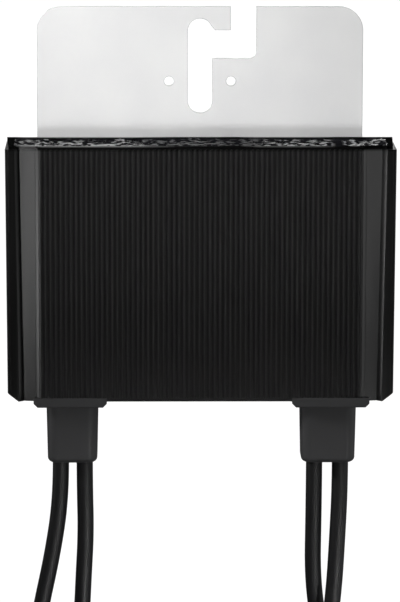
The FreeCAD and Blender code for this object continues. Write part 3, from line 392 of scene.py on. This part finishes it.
def make_world():
    """White for the camera, an even light on dull surfaces, and a room for shiny ones to mirror."""
    world = bpy.data.worlds.new("studio")
    world.use_nodes = True
    bpy.context.scene.world = world
    tree = world.node_tree
    tree.nodes.clear()
    direction = add_node(tree, "ShaderNodeTexCoord").outputs["Generated"]
    split = add_node(tree, "ShaderNodeSeparateXYZ", inputs={0: direction}).outputs
    paper = add_node(tree, "ShaderNodeMapRange", inputs={"Value": split["Y"], **ROOM_LIGHT})
    ceiling = add_node(tree, "ShaderNodeMapRange", inputs={"Value": split["Z"], **CEILING_SHARE})
    factors = {0: paper.outputs["Result"], 1: ceiling.outputs["Result"]}
    room = add_node(tree, "ShaderNodeMath", PRODUCT, factors).outputs[0]
    ray = add_node(tree, "ShaderNodeLightPath").outputs
    rays = {0: ray["Is Camera Ray"], 1: ray["Is Transmission Ray"]}
    seen = add_node(tree, "ShaderNodeMath", {"operation": "MAXIMUM"}, rays).outputs[0]
    ends = {SHARE: ray["Is Glossy Ray"], FIRST_NUMBER: AMBIENT, SECOND_NUMBER: room}
    cast = add_node(tree, "ShaderNodeMix", NUMBERS, ends).outputs[0]
    ends = {SHARE: seen, FIRST_NUMBER: cast, SECOND_NUMBER: 1.0}
    level = add_node(tree, "ShaderNodeMix", NUMBERS, ends).outputs[0]
    light = add_node(tree, "ShaderNodeBackground", inputs={"Color": WHITE, "Strength": level})
    add_node(tree, "ShaderNodeOutputWorld", inputs={"Surface": light.outputs[0]})
    print(world.name, "ready")


make_world()

# %% [markdown]
# A light plate over black plastic can't share one lamp: what lights the plate well washes out the
# case. So each lamp is soft, weak and narrow, and stands where the one surface that it serves
# mirrors it to the camera. Two low strips draw the channels beside the ribs, two more draw the
# cables, and two at the sides draw the steps of the case. One from the upper left lights the plate,
# one above the resin, and one behind the back.

# %% Lamps
# Each lamp's place, the width and height of its face, its watts, the point that it is aimed at, and
# the angle in degrees that its light keeps within. Lengths are in metres.
LAMPS = {
    "lamp_plate": ((-0.67, -0.27, 0.37), (0.12, 0.12), 0.19, (-0.06, 0, 0.01), 18.0),
    "lamp_above": ((0, -0.25, 0.9), (0.25, 0.7), 2.0, CAMERA_TARGET, 180.0),
    "lamp_left_strip": ((-0.45, -0.98, -0.175), (0.2, 0.13), 0.021, (0, -0.014, -0.025), 14.0),
    "lamp_right_strip": ((0.42, -0.98, -0.175), (0.18, 0.15), 0.009, (0, -0.014, -0.025), 14.0),
    "lamp_cables_front": ((0.1, -1.15, -0.32), (0.15, 0.06), 0.007, (0, -0.016, -0.195), 8.0),
    "lamp_cables_right": ((0.62, -1.0, -0.32), (0.25, 0.06), 0.055, (0, -0.016, -0.2), 8.0),
    "lamp_side_left": ((-0.95, -0.1, -0.24), (0.3, 0.1), 0.022, (-0.06, -0.014, -0.07), 16.0),
    "lamp_side_right": ((0.95, -0.1, -0.2), (0.3, 0.6), 1.7, CAMERA_TARGET, 180.0),
    "lamp_back": ((0.5, 1.3, 0.3), (0.6, 0.6), 8.0, CAMERA_TARGET, 180.0),
}
for name, (place, face, watts, target, angle) in LAMPS.items():
    lamp = bpy.data.lights.new(name, "AREA")
    lamp.shape = "RECTANGLE"
    lamp.size, lamp.size_y = face
    lamp.energy = watts
    lamp.spread = math.radians(angle)
    turn = (Vector(target) - Vector(place)).to_track_quat("-Z", "Y").to_matrix().to_4x4()
    add_object(name, lamp).matrix_world = Matrix.Translation(place) @ turn
    print(name, watts, "W")

# %% [markdown]
# The case is injection moulded in black glass-filled nylon. The mould was spark eroded, which
# leaves a fine matte texture, too fine to see at this size, so it is drawn about three times as
# coarse. Vertical streaks vary the gloss from rib to rib, as flow marks do. The edges get a small
# softening, because a moulded edge is never sharp and its highlight draws the ribs. The rim is
# trimmed and dull, and some of the resin ran over it, so it is wet in places.

# %% Case: what changes along it
CASE_HALF = 64.5
RIM_TOP = -35.7
# How far below the rim's top the film of resin on it starts, and from where up it is whole.
FILM_STARTS, FILM_WHOLE = 1.8, 0.8
# Where the resin ran onto the rim: a place along it in millimetres, and how much of it is wet.
RIM_FILM = (
    (-61, 0.0), (-59, 0.75), (-24, 0.8), (-8, 0.05), (13, 0.0), (19, 0.4), (40, 0.35), (45, 0.0),
)
# How much the case's lips, channels and ribs shine, from the left to the right.
CASE_SHINE = (
    (-61.2, 0.4), (-60.2, 1.0), (-54, 1.0), (-52.5, 0.75),
    (52.5, 0.75), (54, 1.0), (61, 1.0), (62, 0.7),
)


def share_along(tree, place, shares):
    """Turns a list of places along the case and shares into a value that changes along it."""
    across = add_node(tree, "ShaderNodeSeparateXYZ", inputs={0: place}).outputs["X"]
    limits = {"Value": across, "From Min": -CASE_HALF * MM, "From Max": CASE_HALF * MM}
    along = add_node(tree, "ShaderNodeMapRange", inputs=limits).outputs["Result"]
    ramp = add_node(tree, "ShaderNodeValToRGB", inputs={"Fac": along})
    stops = ramp.color_ramp.elements
    while len(stops) < len(shares):
        stops.new(1.0)
    for stop, (x, share) in zip(stops, shares):
        stop.position = (x + CASE_HALF) / (2 * CASE_HALF)
        stop.color = (share, share, share, 1.0)
    return ramp.outputs["Color"]


def resin_film(tree, place):
    """Gives the rim's flat top, and the share of it that the resin wets."""
    level = add_node(tree, "ShaderNodeSeparateXYZ", inputs={0: place}).outputs["Z"]
    limits = {"From Min": (RIM_TOP - FILM_STARTS) * MM, "From Max": (RIM_TOP - FILM_WHOLE) * MM}
    rim = add_node(tree, "ShaderNodeMapRange", inputs={"Value": level, **limits}).outputs["Result"]
    factors = {0: rim, 1: share_along(tree, place, RIM_FILM)}
    return rim, add_node(tree, "ShaderNodeMath", PRODUCT, factors).outputs[0]


print(f"case {2 * CASE_HALF:.0f} mm wide, rim at {RIM_TOP} mm")

# %% Case: moulded black nylon
NYLON_SHINE = 0.5


def moulded_nylon():
    material, tree, shader, place = make_material(
        "case_moulded_nylon", IOR=1.46, Coat_Roughness=0.12,
    )
    rim, film = resin_film(tree, place)
    tree.links.new(film, shader.inputs["Coat Weight"])
    # The rim itself has no shine, so it mirrors the bright plate only where it is wet. The ribs
    # and the lips, which hands and cartons rub, are duller than the smooth channels.
    limits = {"Value": rim, "To Min": NYLON_SHINE, "To Max": 0.0}
    dull = add_node(tree, "ShaderNodeMapRange", inputs=limits).outputs["Result"]
    factors = {0: dull, 1: share_along(tree, place, CASE_SHINE)}
    shine = add_node(tree, "ShaderNodeMath", PRODUCT, factors).outputs[0]
    tree.links.new(shine, shader.inputs["Specular IOR Level"])
    streaks = grain(tree, place, 3.0, (1, 1, 0.02), detail=4.0)
    colour_and_gloss(tree, shader, streaks, ("#040404", "#0B0B0B"), (0.29, 0.37))
    relief(tree, shader, grain(tree, place, 0.5, detail=2.0), 0.015, 0.4, edge_mm=0.25)
    return material


def dress(finish, *names):
    """Gives a finish to CAD nodes, whose shapes stay as they are."""
    for name in names:
        for slot in nodes[name].material_slots:
            slot.material = finish
    print(finish.name, "on", len(names), "nodes")


dress(moulded_nylon(), "housing")

# %% [markdown]
# The bracket is cold-rolled steel sheet with a thin zinc coat: pale, satin, and a little cloudy.
# It takes the white of the room as a soft shade rather than a reflection, so it is rough for a
# metal. Faint rolling lines run across it. Its colour is darkened along the cut edges as painted
# shade, where the cuts' inner walls lie in shadow. An edge is found by comparing a softened normal
# with the true one: they differ only near a sharp corner.

# %% Bracket: zinc-plated steel sheet
EDGE_REACH = 0.45
# How alike the two normals are at a corner and on a flat face.
EDGE_LIMITS = {"From Min": 0.8, "From Max": 0.995, "To Min": 1.0, "To Max": 0.0}


def edge_share(tree, reach_mm):
    """One near a sharp edge and nothing elsewhere."""
    soft = add_node(tree, "ShaderNodeBevel", {"samples": 8}, {"Radius": reach_mm * MM}).outputs[0]
    true = add_node(tree, "ShaderNodeNewGeometry").outputs["Normal"]
    normals = {0: soft, 1: true}
    alike = add_node(tree, "ShaderNodeVectorMath", {"operation": "DOT_PRODUCT"}, normals)
    limits = {"Value": alike.outputs["Value"], **EDGE_LIMITS}
    return add_node(tree, "ShaderNodeMapRange", inputs=limits).outputs["Result"]


def zinc_plated_steel():
    material, tree, shader, place = make_material("bracket_zinc_plated_steel", Metallic=0.35)
    clouds = grain(tree, place, 16.0, detail=4.0)
    face = colour_and_gloss(tree, shader, clouds, ("#DCDCDD", "#E8E8E7"), (0.45, 0.58))
    # Painted shade: near the cut edges the face colour is multiplied down towards #9C9C9E.
    ends = {FIRST_COLOUR: WHITE, SECOND_COLOUR: linear("#9C9C9E")}
    edge = add_node(tree, "ShaderNodeMix", COLOURS, {SHARE: edge_share(tree, EDGE_REACH), **ends})
    ends = {SHARE: 1.0, FIRST_COLOUR: face, SECOND_COLOUR: edge.outputs[MIXED_COLOUR]}
    shaded_edges = add_node(tree, "ShaderNodeMix", {**COLOURS, "blend_type": "MULTIPLY"}, ends)
    tree.links.new(shaded_edges.outputs[MIXED_COLOUR], shader.inputs["Base Color"])
    rolling = grain(tree, place, 0.8, (0.06, 1, 1), detail=2.0)
    relief(tree, shader, rolling, 0.02, 0.35, edge_mm=0.2)
    return material


dress(zinc_plated_steel(), "mounting_bracket")

# %% [markdown]
# The glands are moulded round their cables in a softer black plastic than the case. It is greyer
# and duller, with a fine satin skin, so it scatters the light and shows its rounded corners.


# %% Glands: overmoulded elastomer
def overmoulded_elastomer():
    material, tree, shader, place = make_material(
        "gland_overmoulded_elastomer", IOR=1.5, Specular_IOR_Level=0.35,
    )
    colour_and_gloss(tree, shader, grain(tree, place, 9.0), ("#2A2A2B", "#323233"), (0.46, 0.58))
    relief(tree, shader, grain(tree, place, 0.6), 0.04, 0.5, edge_mm=0.6)
    return material


dress(overmoulded_elastomer(), "input_gland", "output_gland")

# %% [markdown]
# The resin is poured black mineral-filled epoxy. It sets uneven, creeps up the walls and holds
# blisters where bubbles rose. It is a closed skin over the CAD fill: a fine grid whose height comes
# from three sizes of noise and from the distance to the nearest wall.

# %% Resin: height of the poured top
# The CAD fill's level, the cavity's front left and back right corners, and its front wall's step:
# how far behind the ribs it reaches to each side, and how far forward the rest stands.
RESIN_LEVEL = -37.0
CAVITY = ((-61.85, -24.9), (61.85, -4.2))
FIELD_INSIDE = 52.4
CHANNEL_INSIDE = -23.3
RESIN_MEAN, RESIN_LOWEST, RESIN_HIGHEST = 0.5, 0.05, 1.2
CREEP_HEIGHT, CREEP_REACH = 0.6, 0.9
# How high each unevenness is, how long and deep its spots are, and which slice of the noise it is.
UNEVENNESS = {
    "swell": (0.25, 19, 11, 1.7),
    "lumps": (0.55, 4.6, 4.2, 8.3),
    "ripple": (0.16, 1.7, 1.9, 4.1),
}


def front_wall(x):
    """Where the inside of the front wall stands, which steps forward behind the ribs."""
    return CAVITY[0][1] if abs(x) < FIELD_INSIDE else CHANNEL_INSIDE


def resin_height(x, y):
    """Height of the resin above its level, in millimetres."""
    edge = min(x - CAVITY[0][0], CAVITY[1][0] - x, y - front_wall(x), CAVITY[1][1] - y)
    height = RESIN_MEAN + CREEP_HEIGHT * math.exp(-max(edge, 0) / CREEP_REACH)
    for rise, along, across, cut in UNEVENNESS.values():
        height += rise * noise.noise(Vector((x / along, y / across, cut)))
    return min(max(height, RESIN_LOWEST), RESIN_HIGHEST)


print(f"resin {resin_height(0, -15):.2f} mm high in the middle")

# %% Resin: mesh of the poured top
RESIN_COLUMNS, RESIN_ROWS = 310, 40
SKIN_FOOT = RESIN_LEVEL - 0.6


def smooth_shape(name, mesh):
    """Turns a built mesh into smooth mesh data whose faces point outwards."""
    bmesh.ops.recalc_face_normals(mesh, faces=mesh.faces)
    data = bpy.data.meshes.new(name)
    mesh.to_mesh(data)
    mesh.free()
    data.polygons.foreach_set("use_smooth", [True] * len(data.polygons))
    return data


def resin_skin():
    """A grid that follows the resin's height, closed by a skirt and a flat foot."""
    mesh = bmesh.new()
    top = []
    for i in range(RESIN_COLUMNS + 1):
        x = CAVITY[0][0] + (CAVITY[1][0] - CAVITY[0][0]) * i / RESIN_COLUMNS
        low = front_wall(x)
        line = []
        for j in range(RESIN_ROWS + 1):
            y = low + (CAVITY[1][1] - low) * j / RESIN_ROWS
            place = Vector((x, y, RESIN_LEVEL + resin_height(x, y)))
            line.append(mesh.verts.new(place * MM))
        top.append(line)
    for i in range(RESIN_COLUMNS):
        for j in range(RESIN_ROWS):
            mesh.faces.new((top[i][j], top[i + 1][j], top[i + 1][j + 1], top[i][j + 1]))
    # Once round the grid: along the front, back on the right, along the back, and on the left.
    front, back = [line[0] for line in top], [line[-1] for line in top]
    rim = front + top[-1][1:-1] + back[::-1] + top[0][-2:0:-1]
    foot = [mesh.verts.new((vert.co.x, vert.co.y, SKIN_FOOT * MM)) for vert in rim]
    for side in range(len(rim)):
        mesh.faces.new((foot[side - 1], foot[side], rim[side], rim[side - 1]))
    mesh.faces.new(foot[::-1])
    return smooth_shape("resin_top", mesh)


resin_top = add_piece("resin_top", resin_skin())
print(resin_top.name, len(resin_top.data.polygons), "faces")

# %% [markdown]
# Dust settles on the resin and dulls it, so that only the blisters shine: they are the broken
# glints along the top edge in the photograph. The dull skin has no shine of its own, because at a
# flat angle even a weak one mirrors the plate. The shader's coat is the clear film over the
# blisters, and the largest of them shine twice.

# %% Resin: black epoxy with shining blisters
BLISTER_LIMITS = {"From Min": 0.47, "From Max": 0.56}
LARGE_LIMITS = {"From Min": 0.6, "From Max": 1.0, "To Min": 0.0, "To Max": 0.8}
# Where the skin's blisters lie: a place along the case in millimetres, and how many of them shine.
RESIN_SHINE = (
    (-61, 0.6), (-48, 0.8), (-30, 1.0), (-21, 1.0), (-18, 0.5), (0, 0.55),
    (12, 0.3), (26, 0.8), (43, 1.0), (45, 0.0), (47, 0.0), (48, 1.0),
)


def poured_epoxy():
    material, tree, shader, place = make_material(
        "resin_poured_epoxy", IOR=1.55, Coat_IOR=1.7, Coat_Roughness=0.06,
    )
    dust = grain(tree, place, 2.8, detail=2.0)
    colour_and_gloss(tree, shader, dust, ("#0A0A0B", "#17171A"), (0.3, 0.1))
    limits = {"Value": dust, **BLISTER_LIMITS}
    raised = add_node(tree, "ShaderNodeMapRange", inputs=limits).outputs["Result"]
    factors = {0: raised, 1: share_along(tree, place, RESIN_SHINE)}
    blisters = add_node(tree, "ShaderNodeMath", PRODUCT, factors).outputs[0]
    tree.links.new(blisters, shader.inputs["Coat Weight"])
    limits = {"Value": blisters, **LARGE_LIMITS}
    large = add_node(tree, "ShaderNodeMapRange", inputs=limits).outputs["Result"]
    tree.links.new(large, shader.inputs["Specular IOR Level"])
    relief(tree, shader, grain(tree, place, 1.1), 0.2, 0.5)
    return material


epoxy = poured_epoxy()
dress(epoxy, "potting")
resin_top.data.materials.append(epoxy)

# %% [markdown]
# Four countersunk screws go through the bracket into the case, with their heads flush so that the
# plate lies flat on the rail. One screw is drawn as a row of rings, with a six-lobed recess and a
# turned cone, and Geometry Nodes puts a copy at each of the four places, because that is how a
# fastener repeats.

# %% Screws: one screw's mesh
SCREW_SIDES = 48
RECESS_LOBES = 6
SMOOTH_ANGLE = math.radians(35)
# Rings from the bottom of the recess, over the head and down the shank to the point: each one's
# radius and height in millimetres, and in the recess how far its lobes reach past that.
RECESS = ((0.75, -1.2, 0.14), (1.0, -1.0, 0.2), (1.05, -0.06, 0.22), (1.15, -0.02, 0.22))
HEAD = ((2.7, -0.02), (2.86, -0.08), (1.5, -1.4))
THREAD_TURNS, THREAD_PITCH = 9, 0.5
CREST_AND_ROOT = ((1.46, -1.6), (1.24, -1.85))
POINT = ((1.2, -6.1), (0.3, -6.55))


def ring(mesh, radius, height, lobes=0.0):
    """A ring of points about the Z axis, round or with lobes, in millimetres."""
    points = []
    for side in range(SCREW_SIDES):
        angle = 2 * math.pi * side / SCREW_SIDES
        reach = radius + lobes * math.cos(RECESS_LOBES * angle)
        place = Vector((reach * math.cos(angle), reach * math.sin(angle), height))
        points.append(mesh.verts.new(place * MM))
    return points


def make_screw():
    """Skins the screw's row of rings and closes its two ends."""
    thread = [
        (radius, height - turn * THREAD_PITCH)
        for turn in range(THREAD_TURNS) for radius, height in CREST_AND_ROOT
    ]
    mesh = bmesh.new()
    rings = [ring(mesh, *numbers) for numbers in (*RECESS, *HEAD, *thread, *POINT)]
    for first, second in zip(rings, rings[1:]):
        for side in range(SCREW_SIDES):
            after = (side + 1) % SCREW_SIDES
            mesh.faces.new((first[side], first[after], second[after], second[side]))
    mesh.faces.new(rings[0][::-1])
    mesh.faces.new(rings[-1])
    data = smooth_shape("screw_shape", mesh)
    data.set_sharp_from_angle(angle=SMOOTH_ANGLE)
    return bpy.data.objects.new("screw_shape", data)


screw_shape = make_screw()
print("screw", len(screw_shape.data.polygons), "faces")

# %% [markdown]
# The screws are carbon steel with a bright zinc coat, smoother than the sheet because they were
# cold headed in polished dies, and a little cloudy, as a plated surface is.


# %% Screws: bright zinc finish
def cloudy_finish(
    name, spot_mm, colours, roughness, depth_mm=0.03, strength=0.4, detail=3.0, **surface
):
    """A finish whose colour, gloss and faint relief all follow one cloudy pattern."""
    material, tree, shader, place = make_material(name, **surface)
    clouds = grain(tree, place, spot_mm, detail=detail)
    colour_and_gloss(tree, shader, clouds, colours, roughness)
    relief(tree, shader, clouds, depth_mm, strength)
    return material


bright_zinc = cloudy_finish(
    "screw_bright_zinc", 1.5, ("#A9ABAE", "#C9CBCC"), (0.26, 0.4), 0.02, 0.3, Metallic=1.0,
)
print("made", bright_zinc.name)

# %% [markdown]
# The tree takes a width, a height and a shape, makes a grid of two by two points, and puts the
# shape at each. It ends by making the copies real and giving them their finish. The tree runs once
# on an empty mesh, and what it makes is kept as a plain mesh.

# %% Screws: four copies by Geometry Nodes
SCREWS_WIDTH = 88.0
SCREWS_HEIGHT = 47.768
SCREWS_MIDDLE = -71.526
TREE_SOCKETS = (
    ("Geometry", "OUTPUT", "NodeSocketGeometry"),
    ("Width", "INPUT", "NodeSocketFloat"),
    ("Height", "INPUT", "NodeSocketFloat"),
    ("Shape", "INPUT", "NodeSocketObject"),
)


def screw_places_tree(finish):
    """A tree that puts a shape at the corners of a rectangle."""
    tree = bpy.data.node_groups.new("screws_at_corners", "GeometryNodeTree")
    for name, way, kind in TREE_SOCKETS:
        tree.interface.new_socket(name, in_out=way, socket_type=kind)
    given = add_node(tree, "NodeGroupInput").outputs
    sizes = {"Size X": given["Width"], "Size Y": given["Height"], "Vertices X": 2, "Vertices Y": 2}
    corners = add_node(tree, "GeometryNodeMeshGrid", inputs=sizes)
    shape = add_node(tree, "GeometryNodeObjectInfo", inputs={"Object": given["Shape"]})
    inputs = {"Points": corners.outputs["Mesh"], "Instance": shape.outputs["Geometry"]}
    placed = add_node(tree, "GeometryNodeInstanceOnPoints", inputs=inputs)
    real = add_node(tree, "GeometryNodeRealizeInstances", inputs={0: placed.outputs[0]})
    inputs = {"Geometry": real.outputs[0], "Material": finish}
    coloured = add_node(tree, "GeometryNodeSetMaterial", inputs=inputs)
    add_node(tree, "NodeGroupOutput", inputs={0: coloured.outputs[0]})
    return tree


def run_tree(name, tree, values):
    """Runs a tree once on an empty mesh and gives back what it makes as a plain mesh."""
    host = add_object(name + "_host", bpy.data.meshes.new(name + "_host"))
    modifier = host.modifiers.new("made", "NODES")
    modifier.node_group = tree
    for item in tree.interface.items_tree:
        if item.in_out == "INPUT" and item.name in values:
            modifier[item.identifier] = values[item.name]
    bpy.context.view_layer.update()
    evaluated = host.evaluated_get(bpy.context.evaluated_depsgraph_get())
    data = bpy.data.meshes.new_from_object(evaluated)
    data.name = name
    bpy.data.objects.remove(host)
    return data


values = {"Width": SCREWS_WIDTH * MM, "Height": SCREWS_HEIGHT * MM, "Shape": screw_shape}
screws_data = run_tree("countersunk_screws", screw_places_tree(bright_zinc), values)
# The tree works in a flat plane, and one quarter turn stands it up against the back of the plate.
middle = Matrix.Translation(Vector((0, 0, SCREWS_MIDDLE)) * MM)
screws_data.transform(middle @ Matrix.Rotation(math.radians(-90), 4, "X"))
screws = add_piece("countersunk_screws", screws_data)
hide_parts("bracket_screws")
print(screws.name, len(screws.data.polygons), "faces")

# %% [markdown]
# The rest of the pieces keep their CAD shapes and get their own finishes. The connectors' shells
# and nuts are hard black polyamide with a fine moulded texture, their contacts and the cables'
# bare ends are tinned copper, and the seals are soft silicone rubber.

# %% Connectors: polyamide, tinned copper and silicone
KINDS = ("input_negative", "input_positive", "output_negative", "output_positive")


def connector_polyamide():
    material, tree, shader, place = make_material("connector_polyamide", IOR=1.53)
    colour_and_gloss(tree, shader, grain(tree, place, 6.0), ("#0C0C0D", "#151516"), (0.36, 0.48))
    relief(tree, shader, grain(tree, place, 0.4, detail=2.0), 0.03, 0.5, edge_mm=0.3)
    return material


tinned_copper = cloudy_finish(
    "contact_tinned_copper", 1.0, ("#BDBBB6", "#D8D6D0"), (0.28, 0.42), 0.02, 0.3, Metallic=1.0,
)
soft_silicone = cloudy_finish(
    "seal_silicone_rubber", 1.4, ("#2A2A2C", "#38383A"), (0.5, 0.65), IOR=1.41,
)
shells = [f"{kind}_{connector_shells(kind)[0]}" for kind in KINDS]
dress(connector_polyamide(), *shells, *[f"{kind}_connector_nut" for kind in KINDS])
dress(tinned_copper, *[f"{kind}_{part}" for kind in KINDS for part in ("contact", "conductor")])
dress(soft_silicone, "input_negative_seal", "output_negative_seal")

# %% [markdown]
# The straps round the coils are moulded nylon with fine teeth across them, which the pawl of the
# lock catches. The teeth are a wave along the strap, not separate shapes, because they are small.
# At scale 1 the waves are pi / 10 of a metre apart, so a scale of 180 makes a tooth every 1.75 mm.

# %% Straps: moulded nylon
TEETH_SCALE = 180.0


def strap_nylon():
    material, tree, shader, place = make_material("strap_nylon", IOR=1.53)
    waves = {"Vector": place, "Scale": TEETH_SCALE}
    teeth = add_node(tree, "ShaderNodeTexWave", {"bands_direction": "Y"}, waves)
    colour_and_gloss(tree, shader, grain(tree, place, 4.0), ("#101011", "#1B1B1C"), (0.32, 0.45))
    relief(tree, shader, teeth.outputs["Fac"], 0.1, 0.6, edge_mm=0.2)
    return material


dress(strap_nylon(), "coil_ties")

# %% [markdown]
# What lies inside the resin never shows, but each part still gets the finish of the real one: a
# green glass-epoxy board, grey sintered cores, enamelled copper, black moulded packages, blue cast
# capacitors and a brown alloy strip.

# %% Parts inside the resin
# Each finish: its spots in millimetres, its colours, its roughness, its metal share and its parts.
HIDDEN_PARTS = {
    "board_glass_epoxy": (3.0, ("#0E3B22", "#15502F"), (0.3, 0.45), 0.0, ["circuit_board"]),
    "core_sintered_ferrite": (
        0.8, ("#2B2B2E", "#3A3A3D"), (0.6, 0.8), 0.0, ["inductor_core_left", "inductor_core_right"],
    ),
    "winding_enamelled_copper": (
        1.0, ("#9C4A1E", "#C06A2E"), (0.22, 0.4), 1.0,
        ["inductor_winding_left", "inductor_winding_right"],
    ),
    "package_moulded_epoxy": (
        0.7, ("#141415", "#1E1E20"), (0.5, 0.7), 0.0,
        ["power_transistors", "bypass_diode", "control_chip", "signal_transformer"],
    ),
    "capacitor_cast_polyester": (
        2.0, ("#1D3E78", "#27508F"), (0.25, 0.4), 0.0, ["input_capacitors", "output_capacitors"],
    ),
    "shunt_manganin_alloy": (1.0, ("#8B7A66", "#A08D76"), (0.3, 0.45), 1.0, ["current_shunt"]),
}
for name, (spot_mm, colours, roughness, metal, parts) in HIDDEN_PARTS.items():
    finish = cloudy_finish(name, spot_mm, colours, roughness, detail=4.0, Metallic=metal)
    dress(finish, *parts)
